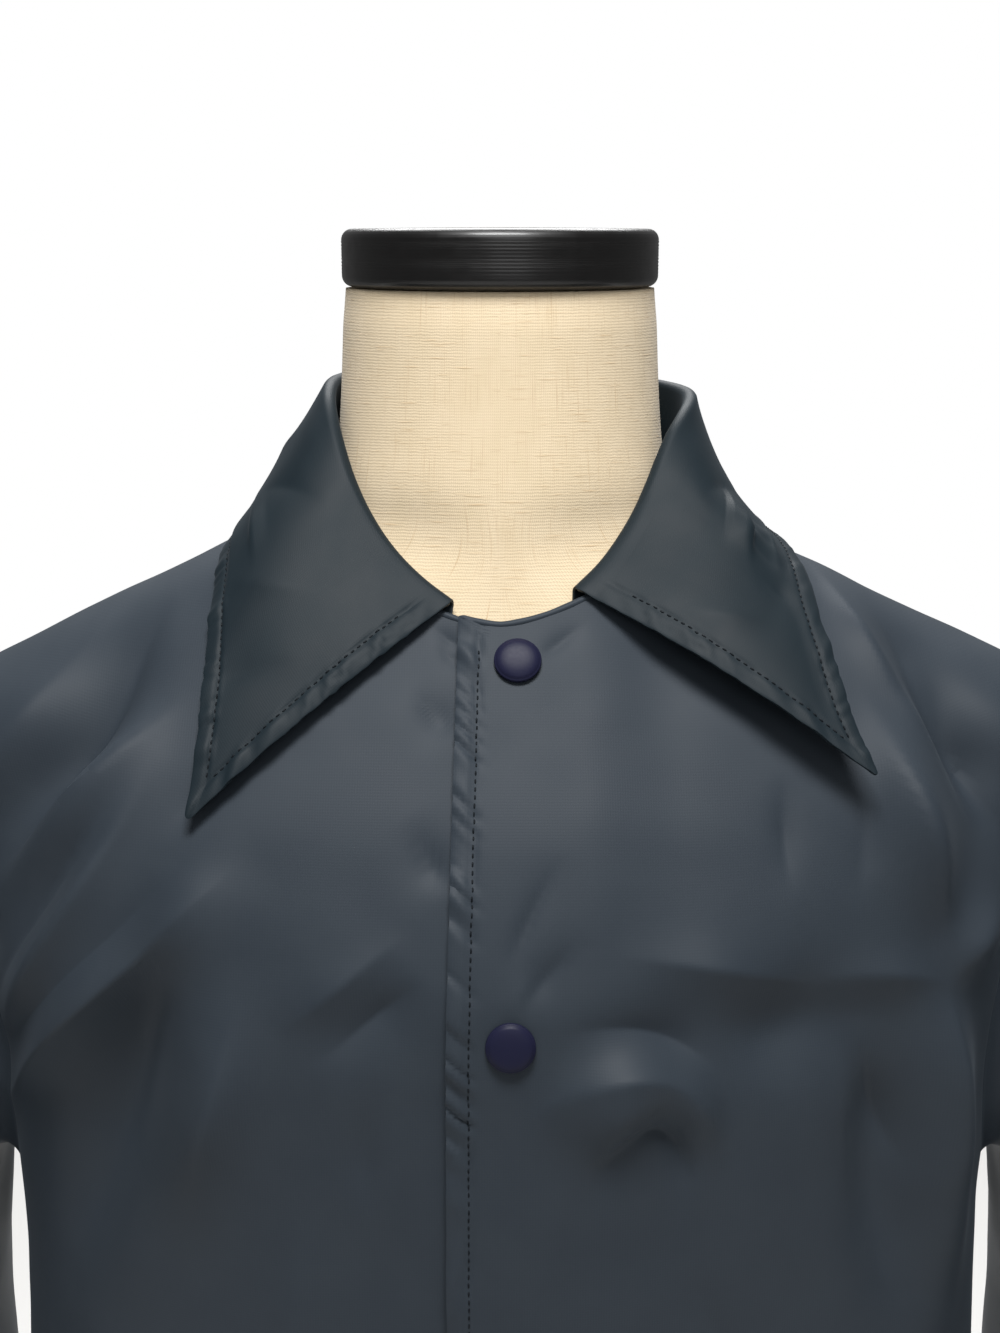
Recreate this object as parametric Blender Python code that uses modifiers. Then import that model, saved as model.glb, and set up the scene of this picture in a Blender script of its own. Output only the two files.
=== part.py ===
"""Nylon snap-front jacket on a limbless, linen-covered dress form.

Metres, +Z up. The front faces -Y and the wearer's left is at +X. The origin is on the floor, in the
middle of the form's flat foot. The jacket is a set of thin cloth walls: two fronts that lap at the
closure, a back, two set-in sleeves that hang empty, a collar that stands and folds over, and a row
of snap caps. The form inside carries it on its shoulders.
"""

import bisect
import math
from collections import namedtuple

import bmesh
import bpy
from mathutils import Matrix, Vector

# Driving dimensions of the jacket
WALL = 0.0015
COLLAR_WALL = 0.0018
SEAM_GAP = 0.0005
COLLAR_SEAM_GAP = 0.0009
SLEEVE_SEAM_GAP = 0.0019
HEM_HEIGHT = 0.080
BODY_LENGTH = 0.698
SHOULDER_SLOPE = 0.467
NECK_POINT_X = 0.073
SHOULDER_POINT_X = 0.222
FRONT_NECK_DROP = 0.038
FRONT_NECK_POWER = 1.6
BACK_NECK_RISE = 0.008
UNDERARM_HEIGHT = 0.525
ARMHOLE_SCOOP_FRONT = 26.0
ARMHOLE_SCOOP_BACK = 22.0
CLOSURE_X = 0.0032
CLOSURE_LEAN = 0.023
CLOSURE_LEAN_FROM = 0.610
OVERLAP = 0.0202
LAP_LIFT = 0.0030
LAP_RAMP_START = 0.060
LAP_RAMP_END = 0.027
SLEEVE_HEAD = 0.006
SLEEVE_DEGREES = 560.0
ROUNDNESS = 0.87

# Driving dimensions of the snaps and the dress form
SNAP_RADIUS = 0.008
SNAP_HEIGHT = 0.0034
SNAP_COUNT = 6
SNAP_SPACING = 0.126
FIRST_SNAP_HEIGHT = 0.728
REST_GAP = 0.0005
NECK_TILT = math.radians(6.0)
NECK_BASE_HEIGHT = 0.786
NECK_TOP_HEIGHT = 0.859
CAP_HALF_WIDTH = 0.058
CAP_HALF_DEPTH = 0.060
CAP_THICKNESS = 0.0205
CAP_EDGE_RADIUS = 0.004

# Derived heights
NECK_POINT_HEIGHT = HEM_HEIGHT + BODY_LENGTH
SHOULDER_POINT_HEIGHT = NECK_POINT_HEIGHT - SHOULDER_SLOPE * (SHOULDER_POINT_X - NECK_POINT_X)
FRONT_NECK_HEIGHT = NECK_POINT_HEIGHT - FRONT_NECK_DROP

# Mesh steps: rows from hem to underarm, to the front neck and to the shoulder seam, and the rest.
# The rows are closer above the chest, at CHEST_HEIGHT in the middle of the front and of the back.
CHEST_HEIGHT = 0.580
UNDERARM_ROW = 11
NECK_ROW = 16
SHOULDER_ROW = 25
FRONT_COLUMNS = 18
BACK_COLUMNS = 12
SLEEVE_HEAD_RINGS = 3
SLEEVE_RINGS = 18
SLEEVE_RING_SPREAD = 1.25
COLLAR_STEPS = 40
STAND_STEPS = 3
ROLL_STEPS = 4
FALL_STEPS = 6
FORM_SIDES = 32
SNAP_SIDES = 16
WELD = 1e-5
SHARP_EDGE = math.radians(50.0)

# Level slices through the jacket's body: half width, and depth to the front and to the back of X = 0.
# Above the shoulder point the half width follows the straight shoulder line instead.
BodySlice = namedtuple("BodySlice", "height half_width front back")
BODY_SLICES = (
    BodySlice(0.080, 0.190, 0.121, 0.106),
    BodySlice(0.200, 0.187, 0.121, 0.107),
    BodySlice(0.350, 0.183, 0.122, 0.109),
    BodySlice(0.500, 0.182, 0.124, 0.117),
    BodySlice(0.570, 0.186, 0.126, 0.121),
    BodySlice(0.600, 0.190, 0.1265, 0.122),
    BodySlice(0.620, 0.194, 0.1255, 0.122),
    BodySlice(0.640, 0.198, 0.1215, 0.121),
    BodySlice(0.670, 0.206, 0.1100, 0.116),
    BodySlice(0.708, 0.222, 0.0865, 0.104),
    BodySlice(0.740, 0.222, 0.0660, 0.089),
    BodySlice(0.778, 0.222, 0.0450, 0.068),
    BodySlice(0.790, 0.222, 0.0400, 0.060),
)

# The largest folds of the body. A fold is a line on the cloth from one point to another, each a way
# across from the closure (to the wearer's left, past the side seam at about 0.22) and a height. Depth
# is outwards for a ridge and inwards for a trough, and is greatest at the share peak of the line.
Fold = namedtuple("Fold", "across height end_across end_height width depth peak")
BODY_FOLDS = (
    Fold(-0.122, 0.742, -0.190, 0.640, 0.014, -0.010, 0.55),
    Fold(-0.108, 0.712, -0.195, 0.640, 0.013, 0.008, 0.50),
    Fold(-0.125, 0.676, -0.200, 0.590, 0.013, 0.007, 0.50),
    Fold(-0.078, 0.672, -0.190, 0.580, 0.014, 0.009, 0.40),
    Fold(-0.104, 0.652, -0.162, 0.500, 0.015, -0.011, 0.50),
    Fold(-0.080, 0.638, -0.110, 0.530, 0.013, 0.006, 0.50),
    Fold(0.134, 0.742, 0.192, 0.652, 0.014, -0.010, 0.55),
    Fold(0.128, 0.718, 0.150, 0.636, 0.013, 0.008, 0.50),
    Fold(0.190, 0.656, 0.148, 0.620, 0.013, 0.006, 0.60),
    Fold(0.149, 0.644, 0.168, 0.460, 0.014, 0.010, 0.45),
    Fold(0.034, 0.620, 0.152, 0.613, 0.017, -0.009, 0.50),
    Fold(0.008, 0.596, 0.074, 0.588, 0.014, 0.008, 0.60),
    Fold(0.114, 0.612, 0.150, 0.490, 0.014, -0.008, 0.50),
    Fold(-0.195, 0.520, -0.180, 0.080, 0.022, 0.014, 1.00),
    Fold(-0.135, 0.500, -0.130, 0.080, 0.018, -0.012, 1.00),
    Fold(-0.085, 0.450, -0.075, 0.080, 0.016, 0.011, 1.00),
    Fold(0.205, 0.520, 0.185, 0.080, 0.022, 0.013, 1.00),
    Fold(0.145, 0.450, 0.135, 0.080, 0.018, -0.012, 1.00),
    Fold(0.092, 0.420, 0.082, 0.080, 0.016, 0.011, 1.00),
    Fold(0.255, 0.665, 0.330, 0.560, 0.015, -0.010, 0.45),
    Fold(-0.255, 0.670, -0.335, 0.555, 0.015, -0.010, 0.45),
    Fold(0.245, 0.620, 0.325, 0.500, 0.014, 0.009, 0.45),
    Fold(-0.250, 0.615, -0.330, 0.490, 0.014, 0.009, 0.45),
    Fold(0.262, 0.540, 0.275, 0.080, 0.022, 0.014, 1.00),
    Fold(-0.268, 0.530, -0.280, 0.080, 0.024, 0.015, 1.00),
    Fold(0.345, 0.480, 0.340, 0.080, 0.020, -0.012, 1.00),
    Fold(-0.350, 0.500, -0.355, 0.080, 0.018, -0.011, 1.00),
    Fold(0.425, 0.520, 0.415, 0.080, 0.020, 0.011, 1.00),
)

# Rings of a hanging sleeve past its armhole: the ends of each ring's long way across, over the outer
# arm and under the armpit side, and its depth to the front and to the back.
SleeveRing = namedtuple("SleeveRing", "outer_x outer_z inner_x inner_z front back")
SleeveKey = namedtuple("SleeveKey", ("place", *SleeveRing._fields))
SLEEVE_RINGS_TABLE = (
    SleeveRing(0.234, 0.7020, 0.1870, 0.5340, 0.062, 0.054),
    SleeveRing(0.247, 0.6860, 0.1930, 0.5340, 0.070, 0.062),
    SleeveRing(0.256, 0.6560, 0.1985, 0.5250, 0.077, 0.069),
    SleeveRing(0.262, 0.6120, 0.2020, 0.5060, 0.083, 0.075),
    SleeveRing(0.265, 0.5500, 0.2040, 0.4740, 0.087, 0.079),
    SleeveRing(0.266, 0.4800, 0.2055, 0.4360, 0.089, 0.078),
    SleeveRing(0.266, 0.4000, 0.2065, 0.3820, 0.089, 0.070),
    SleeveRing(0.265, 0.3000, 0.2080, 0.2940, 0.087, 0.055),
    SleeveRing(0.262, 0.2000, 0.2095, 0.1980, 0.083, 0.041),
    SleeveRing(0.258, 0.1200, 0.2115, 0.1200, 0.078, 0.030),
)

# The largest folds of a sleeve: from and to a share of its length and an angle round it, in degrees
# from the front over the outer arm. Width is in shares of the length, which is as long as the cloth
# round SLEEVE_DEGREES.
SleeveFold = namedtuple("SleeveFold", "share angle end_share end_angle width depth peak")
SLEEVE_FOLDS = (
    SleeveFold(0.06, 70, 0.50, 25, 0.07, 0.008, 0.50),
    SleeveFold(0.10, 110, 0.55, 155, 0.07, 0.008, 0.50),
    SleeveFold(0.14, 92, 0.50, 85, 0.08, -0.007, 0.55),
    SleeveFold(0.46, 30, 0.60, 140, 0.05, 0.008, 0.50),
    SleeveFold(0.53, 20, 0.68, 125, 0.05, -0.008, 0.50),
    SleeveFold(0.62, 35, 0.76, 130, 0.05, 0.006, 0.50),
    SleeveFold(0.70, 70, 1.00, 80, 0.09, -0.007, 1.00),
    SleeveFold(0.54, 215, 0.70, 320, 0.06, 0.005, 0.50),
)

# Sections of the collar by station: 0 at the back of the neck, 1 at a shoulder seam, 2 at the
# closure, the wearer's right negative. The stand rises from the neck seam and leans outwards. The
# edge lies over the body at a distance across and a height, lifted off it. Bulge rounds the fall.
CollarSection = namedtuple("CollarSection", "station stand lean edge_x edge_height lift bulge")
COLLAR_SECTIONS = (
    CollarSection(-1.85, 0.0055, 0.0010, -0.1011, 0.6780, 0.006, 0.004),
    CollarSection(-1.72, 0.0095, -0.0005, -0.0994, 0.6995, 0.006, 0.004),
    CollarSection(-1.57, 0.0150, -0.0035, -0.0986, 0.7220, 0.006, 0.004),
    CollarSection(-1.40, 0.0255, -0.0050, -0.0985, 0.7420, 0.006, 0.003),
    CollarSection(-1.22, 0.0370, -0.0060, -0.0983, 0.7555, 0.005, 0.002),
    CollarSection(-1.00, 0.0475, -0.0055, -0.0990, 0.7655, 0.004, 0.000),
    CollarSection(-0.50, 0.0490, -0.0030, -0.0600, 0.7610, 0.004, 0.003),
    CollarSection(0.00, 0.0490, 0.0000, 0.0000, 0.7570, 0.004, 0.004),
    CollarSection(0.50, 0.0465, 0.0040, 0.0620, 0.7600, 0.004, 0.002),
    CollarSection(1.00, 0.0430, 0.0050, 0.1030, 0.7635, 0.005, -0.006),
    CollarSection(1.20, 0.0355, -0.0050, 0.1030, 0.7520, 0.008, 0.000),
    CollarSection(1.38, 0.0240, -0.0050, 0.1045, 0.7365, 0.010, 0.003),
    CollarSection(1.54, 0.0155, -0.0030, 0.1090, 0.7200, 0.012, 0.005),
    CollarSection(1.68, 0.0100, 0.0015, 0.1140, 0.7030, 0.013, 0.006),
    CollarSection(1.77, 0.0065, 0.0030, 0.1192, 0.6880, 0.014, 0.006),
)
FALL_CLEARANCE = 0.0030
ROLL_RADIUS = 0.0024
BULGE_RISE = 0.5

# Level slices through the dress form, from its foot to the top of its neck. A roundness under 1 squares
# a slice off, and one over 1 pinches it, as where the shoulders run up into the neck.
FormSlice = namedtuple("FormSlice", "height half_width front back roundness")
FORM_SLICES = (
    FormSlice(0.000, 0.1500, 0.0960, 0.0840, 0.87),
    FormSlice(0.012, 0.1560, 0.1000, 0.0870, 0.87),
    FormSlice(0.100, 0.1630, 0.1030, 0.0880, 0.87),
    FormSlice(0.220, 0.1520, 0.0990, 0.0840, 0.87),
    FormSlice(0.330, 0.1430, 0.0970, 0.0800, 0.87),
    FormSlice(0.440, 0.1530, 0.1050, 0.0900, 0.87),
    FormSlice(0.540, 0.1640, 0.1140, 0.1040, 0.87),
    FormSlice(0.610, 0.1720, 0.1090, 0.1080, 0.87),
    FormSlice(0.650, 0.1800, 0.1000, 0.1060, 0.87),
    FormSlice(0.690, 0.1880, 0.0830, 0.0970, 0.87),
    FormSlice(0.708, 0.1925, 0.0740, 0.0910, 0.88),
    FormSlice(0.716, 0.1915, 0.0700, 0.0880, 0.90),
    FormSlice(0.722, 0.1860, 0.0670, 0.0850, 0.92),
    FormSlice(0.730, 0.1718, 0.0640, 0.0810, 1.00),
    FormSlice(0.740, 0.1512, 0.0602, 0.0760, 1.10),
    FormSlice(0.750, 0.1298, 0.0576, 0.0700, 1.25),
    FormSlice(0.760, 0.1083, 0.0564, 0.0650, 1.38),
    FormSlice(0.767, 0.0905, 0.0561, 0.0610, 1.42),
    FormSlice(0.771, 0.0790, 0.0560, 0.0590, 1.35),
    FormSlice(0.775, 0.0705, 0.0560, 0.0575, 1.20),
    FormSlice(0.780, 0.0655, 0.0563, 0.0565, 1.08),
    FormSlice(0.788, 0.0626, 0.0562, 0.0558, 1.00),
    FormSlice(0.800, 0.0604, 0.0561, 0.0553, 1.00),
    FormSlice(0.825, 0.0586, 0.0562, 0.0552, 1.00),
    FormSlice(0.853, 0.0574, 0.0570, 0.0560, 1.00),
    FormSlice(0.859, 0.0562, 0.0560, 0.0550, 1.00),
)

# Snap cap from its rim up to its crown, as shares of its radius and height
SnapProfile = namedtuple("SnapProfile", "radius height")
SNAP_PROFILE = (
    SnapProfile(0.00, 1.00),
    SnapProfile(0.55, 0.94),
    SnapProfile(0.84, 0.76),
    SnapProfile(1.00, 0.36),
    SnapProfile(0.97, 0.00),
    SnapProfile(0.00, 0.00),
)


def signed_power(value, power):
    """The power of a value's size, with the value's sign."""
    return math.copysign(abs(value) ** power, value)


def smooth_step(share):
    """0 to 1 with level ends, for a share that is held between 0 and 1."""
    share = min(1.0, max(0.0, share))
    return share * share * (3 - 2 * share)


def along(table, key, column, position):
    """A table's column at a position of its key column, on a smooth curve through the rows."""
    keys = [getattr(row, key) for row in table]
    values = [getattr(row, column) for row in table]
    position = min(keys[-1], max(keys[0], position))
    i = min(len(keys) - 2, max(0, bisect.bisect_left(keys, position) - 1))

    def slope(k):
        if k in (0, len(keys) - 1):
            a, b = max(0, k - 1), min(len(keys) - 1, k + 1)
            return (values[b] - values[a]) / (keys[b] - keys[a])
        before = (values[k] - values[k - 1]) / (keys[k] - keys[k - 1])
        after = (values[k + 1] - values[k]) / (keys[k + 1] - keys[k])
        return 0.0 if before * after <= 0 else 2 * before * after / (before + after)

    step = keys[i + 1] - keys[i]
    s = (position - keys[i]) / step
    start = (1 + 2 * s) * (1 - s) ** 2 * values[i] + s * (1 - s) ** 2 * step * slope(i)
    return start + s * s * (3 - 2 * s) * values[i + 1] - s * s * (1 - s) * step * slope(i + 1)


# The body's surface
def body_half_width(height):
    """Half the width of the level slice at a height: the body's, or the shoulder line's above it."""
    if height > SHOULDER_POINT_HEIGHT:
        return NECK_POINT_X + (NECK_POINT_HEIGHT - height) / SHOULDER_SLOPE
    return along(BODY_SLICES, "height", "half_width", height)


def body_point(turn, height):
    """A point of the body's middle surface, with no folds."""
    angle = math.radians(turn)
    forward = math.cos(angle)
    depth = along(BODY_SLICES, "height", "front" if forward > 0 else "back", height)
    x = body_half_width(height) * signed_power(math.sin(angle), ROUNDNESS)
    return Vector((x, -depth * signed_power(forward, ROUNDNESS), height))


def body_normal(turn, height):
    """The outward direction of the body's surface at a point."""
    turn_step, height_step = 0.5, 0.001
    below = height - height_step
    above = height + height_step
    if below < SHOULDER_POINT_HEIGHT < above:
        below, above = (height, above) if height > SHOULDER_POINT_HEIGHT else (below, height)
    across = body_point(turn + turn_step, height) - body_point(turn - turn_step, height)
    upward = body_point(turn, above) - body_point(turn, below)
    return across.cross(upward).normalized()


def turn_at(x, height):
    """The turn, on the front, of the point at a distance X from the middle."""
    share = x / body_half_width(height)
    return math.degrees(math.asin(max(-1.0, min(1.0, signed_power(share, 1 / ROUNDNESS)))))


def fold_profile(share, peak):
    """How far a fold has risen at a share of its line: nothing outside its ends, all at its peak."""
    if share <= 0 or (share >= 1 and peak < 1):
        return 0.0
    if share < peak:
        return smooth_step(share / peak)
    return 1.0 if peak >= 1 else smooth_step((1 - share) / (1 - peak))


def across_at(turn, height):
    """How far round the body a point lies from the closure, by straight steps through the side seam,
    and half the way round at its height."""
    turn = (turn + 180) % 360 - 180
    point = body_point(turn, height)
    side = body_half_width(height)
    front = along(BODY_SLICES, "height", "front", height)
    back = along(BODY_SLICES, "height", "back", height)
    to_side = math.hypot(side, front)
    half_way = to_side + math.hypot(side, back)
    if abs(turn) <= 90:
        return math.copysign(math.hypot(point.x, front + point.y), turn), half_way
    return math.copysign(half_way - math.hypot(point.x, back - point.y), turn), half_way


def fold_depth(turn, height):
    """How far the folds move the body's cloth outwards at a point."""
    across, half_way = across_at(turn, height)
    total = 0.0
    for fold in BODY_FOLDS:
        away = (across - fold.across + half_way) % (2 * half_way) - half_way
        down = height - fold.height
        line_away, line_down = fold.end_across - fold.across, fold.end_height - fold.height
        length = math.hypot(line_away, line_down)
        share = (away * line_away + down * line_down) / (length * length)
        aside = (away * line_down - down * line_away) / length
        total += fold.depth * fold_profile(share, fold.peak) * math.exp(-((aside / fold.width) ** 2))
    return total


def cloth_point(turn, height, lift=0.0):
    """A point of the folded cloth's middle surface, moved out by a lift."""
    out = fold_depth(turn, height) + lift
    return body_point(turn, height) + body_normal(turn, height) * out


# The edges of the panels, each point a turn and a height
def neckline(share):
    """The neck edge on the wearer's left: 0 at the closure's middle, 1 at the shoulder, 2 at the back."""
    if share <= 1:
        x = NECK_POINT_X * math.sin(math.radians(90 * share))
        rise = FRONT_NECK_DROP * abs(x / NECK_POINT_X) ** FRONT_NECK_POWER
        height = FRONT_NECK_HEIGHT + rise
        return turn_at(x, height), height
    across = math.cos(math.radians(90 * (share - 1)))
    height = NECK_POINT_HEIGHT + BACK_NECK_RISE * (1 - across * across)
    return 180 - turn_at(NECK_POINT_X * across, height), height


def armhole(share, scoop):
    """The armhole's edge from the underarm, 0, to the shoulder point, 1, a scoop before the side."""
    half_turn = math.pi * share
    rise = (1 - math.cos(half_turn)) / 2
    height = UNDERARM_HEIGHT + (SHOULDER_POINT_HEIGHT - UNDERARM_HEIGHT) * rise
    return 90 - scoop * math.sin(half_turn), height


def outer_edge(row, scoop):
    """The side seam from the hem to the underarm, and then the armhole."""
    if row <= UNDERARM_ROW:
        return 90.0, HEM_HEIGHT + (UNDERARM_HEIGHT - HEM_HEIGHT) * row / UNDERARM_ROW
    return armhole((row - UNDERARM_ROW) / (SHOULDER_ROW - UNDERARM_ROW), scoop)


def middle_height(row, neck_height):
    """The height of a row in the middle of the front or of the back, up to the neck edge."""
    if row <= UNDERARM_ROW:
        return HEM_HEIGHT + (CHEST_HEIGHT - HEM_HEIGHT) * row / UNDERARM_ROW
    return CHEST_HEIGHT + (neck_height - CHEST_HEIGHT) * (row - UNDERARM_ROW) / (NECK_ROW - UNDERARM_ROW)


def closure_x(height):
    """The line of the snaps, which leans a little to the wearer's left towards the neck."""
    return CLOSURE_X + CLOSURE_LEAN * max(0.0, height - CLOSURE_LEAN_FROM)


def front_edge(row, side):
    """The edge of a front past the snaps, and then the neck edge to the shoulder."""
    neck_x = side * closure_x(FRONT_NECK_HEIGHT) - OVERLAP
    first = math.degrees(math.asin(neck_x / NECK_POINT_X)) / 90
    if row <= NECK_ROW:
        height = middle_height(row, neckline(first)[1])
        return turn_at(side * closure_x(height) - OVERLAP, height), height
    share = first + (1 - first) * (row - NECK_ROW) / (SHOULDER_ROW - NECK_ROW)
    return neckline(share)


def back_edge(row):
    """The middle of the back, as a turn past the side on the wearer's left, and then the neck edge."""
    if row <= NECK_ROW:
        return 180.0, middle_height(row, neckline(2)[1])
    return neckline(2 - (row - NECK_ROW) / (SHOULDER_ROW - NECK_ROW))


# Mesh helpers
def make_material(name, colour, roughness, metallic=0.0):
    material = bpy.data.materials.new(name)
    material.use_nodes = True
    shader = material.node_tree.nodes["Principled BSDF"]
    shader.inputs["Base Color"].default_value = (*colour, 1.0)
    shader.inputs["Roughness"].default_value = roughness
    shader.inputs["Metallic"].default_value = metallic
    return material


def add_object(name, mesh, material, collection):
    mesh.materials.append(material)
    mesh.shade_smooth()
    made = bpy.data.objects.new(name, mesh)
    collection.objects.link(made)
    return made


def grid_mesh(name, grids, closed=False):
    """A surface through grids of points, rows of columns, sewn where their edges meet."""
    shell = bmesh.new()
    for rows in grids:
        verts = [[shell.verts.new(point) for point in row] for row in rows]
        columns = len(verts[0])
        for low, high in zip(verts, verts[1:]):
            for i in range(columns if closed else columns - 1):
                j = (i + 1) % columns
                shell.faces.new((low[i], low[j], high[j], high[i]))
    bmesh.ops.remove_doubles(shell, verts=shell.verts, dist=WELD)
    mesh = bpy.data.meshes.new(name)
    shell.to_mesh(mesh)
    shell.free()
    return mesh


def add_wall(cloth, thickness):
    """Gives an open surface its thickness, half to each side."""
    wall = cloth.modifiers.new("wall", "SOLIDIFY")
    wall.thickness = thickness
    wall.offset = 0.0


# The jacket's pieces
def front_rows(side):
    """The grid of one front: side +1 is the wearer's left, whose lap is raised over the other."""
    rows = []
    for row in range(SHOULDER_ROW + 1):
        inner_turn, inner_height = front_edge(row, side)
        outer_turn, outer_height = outer_edge(row, ARMHOLE_SCOOP_FRONT)
        points = []
        for column in range(FRONT_COLUMNS + 1):
            share = column / FRONT_COLUMNS
            turn = inner_turn + (outer_turn - inner_turn) * share
            height = inner_height + (outer_height - inner_height) * share
            lift = 0.0
            if side > 0:
                x = body_point(turn, height).x
                lift = LAP_LIFT * smooth_step((LAP_RAMP_START - x) / (LAP_RAMP_START - LAP_RAMP_END))
            point = cloth_point(side * turn, height, lift)
            point.y -= SEAM_GAP / 2
            points.append(point)
        rows.append(points if side > 0 else points[::-1])
    return rows


def back_rows(side):
    """The grid of half the back, from the side to the middle on the wearer's left, side +1."""
    rows = []
    for row in range(SHOULDER_ROW + 1):
        inner_turn, inner_height = back_edge(row)
        outer_turn, outer_height = outer_edge(row, ARMHOLE_SCOOP_BACK)
        outer_turn = 180 - outer_turn
        points = []
        for column in range(BACK_COLUMNS + 1):
            share = column / BACK_COLUMNS
            turn = outer_turn + (inner_turn - outer_turn) * share
            height = outer_height + (inner_height - outer_height) * share
            point = cloth_point(side * turn, height)
            point.y += SEAM_GAP / 2
            points.append(point)
        rows.append(points if side > 0 else points[::-1])
    return rows


def add_fronts(collection, nylon):
    for name, side in (("front_left", 1), ("front_right", -1)):
        mesh = grid_mesh(name, [front_rows(side)])
        add_wall(add_object(name, mesh, nylon, collection), WALL)


def add_back(collection, nylon):
    mesh = grid_mesh("back", [back_rows(1), back_rows(-1)])
    add_wall(add_object("back", mesh, nylon, collection), WALL)


def armhole_ring(side, outward=0.0):
    """The armhole's edge all round, from the front over the shoulder to the back and the underarm,
    carried on along the panels' own slope by a distance outward."""
    steps = SHOULDER_ROW - UNDERARM_ROW

    def edge(angle):
        rise = math.sin(math.radians(angle))
        share = math.acos(-rise) / math.pi
        on_front = math.cos(math.radians(angle)) > 0
        turn, height = armhole(share, ARMHOLE_SCOOP_FRONT if on_front else ARMHOLE_SCOOP_BACK)
        return side * (turn if on_front else 180 - turn), height

    points = []
    for i in range(2 * steps):
        angle = 180 * i / steps
        tangent = cloth_point(*edge(angle + 1)) - cloth_point(*edge(angle - 1))
        across = tangent.cross(body_normal(*edge(angle))).normalized() * side
        points.append(cloth_point(*edge(angle)) + across * outward)
    return points


def sleeve_fold_depth(share, angle):
    """How far the folds move a sleeve's cloth outwards, at a share of its length and an angle."""
    total = 0.0
    for fold in SLEEVE_FOLDS:
        away = ((angle - fold.angle + 180) % 360 - 180) / SLEEVE_DEGREES
        down = share - fold.share
        line_away, line_down = (fold.end_angle - fold.angle) / SLEEVE_DEGREES, fold.end_share - fold.share
        length = math.hypot(line_away, line_down)
        walked = (away * line_away + down * line_down) / (length * length)
        aside = (away * line_down - down * line_away) / length
        total += fold.depth * fold_profile(walked, fold.peak) * math.exp(-((aside / fold.width) ** 2))
    return total


def sleeve_ring_point(place, angle, side):
    """A point of the sleeve at a place in the table of rings and an angle round it."""
    keyed = [SleeveKey(i, *row) for i, row in enumerate(SLEEVE_RINGS_TABLE)]
    size = {name: along(keyed, "place", name, place) for name in SleeveRing._fields}
    rise, forward = math.sin(math.radians(angle)), math.cos(math.radians(angle))
    outer = Vector((size["outer_x"], 0, size["outer_z"]))
    inner = Vector((size["inner_x"], 0, size["inner_z"]))
    out = sleeve_fold_depth(place / (len(keyed) - 1), angle)
    across = (outer - inner) / 2
    depth = (size["front"] if forward > 0 else size["back"]) * signed_power(forward, ROUNDNESS)
    middle = (outer + inner) / 2 + across * signed_power(rise, ROUNDNESS)
    point = middle + Vector((0, -depth, 0))
    away = across.normalized() * rise + Vector((0, -forward, 0))
    point += away.normalized() * out
    return Vector((side * point.x, point.y, point.z))


def sleeve_rows(side):
    """The rings of a sleeve: from the armhole's edge on along the panels' slope, then the table's."""
    start = armhole_ring(side, SLEEVE_SEAM_GAP)
    ahead = armhole_ring(side, SLEEVE_SEAM_GAP + SLEEVE_HEAD)
    angles = [360 * i / len(start) for i in range(len(start))]
    first = [sleeve_ring_point(0, angle, side) for angle in angles]
    rings = []
    for k in range(SLEEVE_HEAD_RINGS):
        s = k / SLEEVE_HEAD_RINGS
        blend = zip(start, ahead, first)
        rings.append([a * (1 - s) ** 2 + b * (2 * s * (1 - s)) + c * s * s for a, b, c in blend])
    for k in range(SLEEVE_RINGS + 1):
        place = (len(SLEEVE_RINGS_TABLE) - 1) * (k / SLEEVE_RINGS) ** SLEEVE_RING_SPREAD
        rings.append([sleeve_ring_point(place, angle, side) for angle in angles])
    return rings if side < 0 else [ring[::-1] for ring in rings]


def add_sleeves(collection, nylon):
    for name, side in (("sleeve_left", 1), ("sleeve_right", -1)):
        mesh = grid_mesh(name, [sleeve_rows(side)], closed=True)
        add_wall(add_object(name, mesh, nylon, collection), WALL)


def collar_seam(station):
    """Where the collar's stand starts, just inside the neck edge, and the level way out from there."""

    def edge(at):
        turn, height = neckline(2 - abs(at))
        return cloth_point(math.copysign(turn, at), height)

    step = 0.01
    tangent = edge(station + step) - edge(station - step)
    out = Vector((0, 0, 1)).cross(tangent).normalized()
    inside = COLLAR_WALL / 2 + WALL / 2 + COLLAR_SEAM_GAP
    return edge(station) - out * inside, out


def clear_of_body(point, station):
    """A point of the collar's fall, moved out from the body where it comes too near."""
    if point.z > NECK_POINT_HEIGHT:
        return point
    turn = turn_at(point.x, point.z)
    if abs(station) < 1:
        turn = 180 - turn
    least = FALL_CLEARANCE + (LAP_LIFT if point.x > 0 else 0.0)
    normal = body_normal(turn, point.z)
    room = (point - cloth_point(turn, point.z)).dot(normal)
    return point + normal * max(0.0, least - room)


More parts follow.
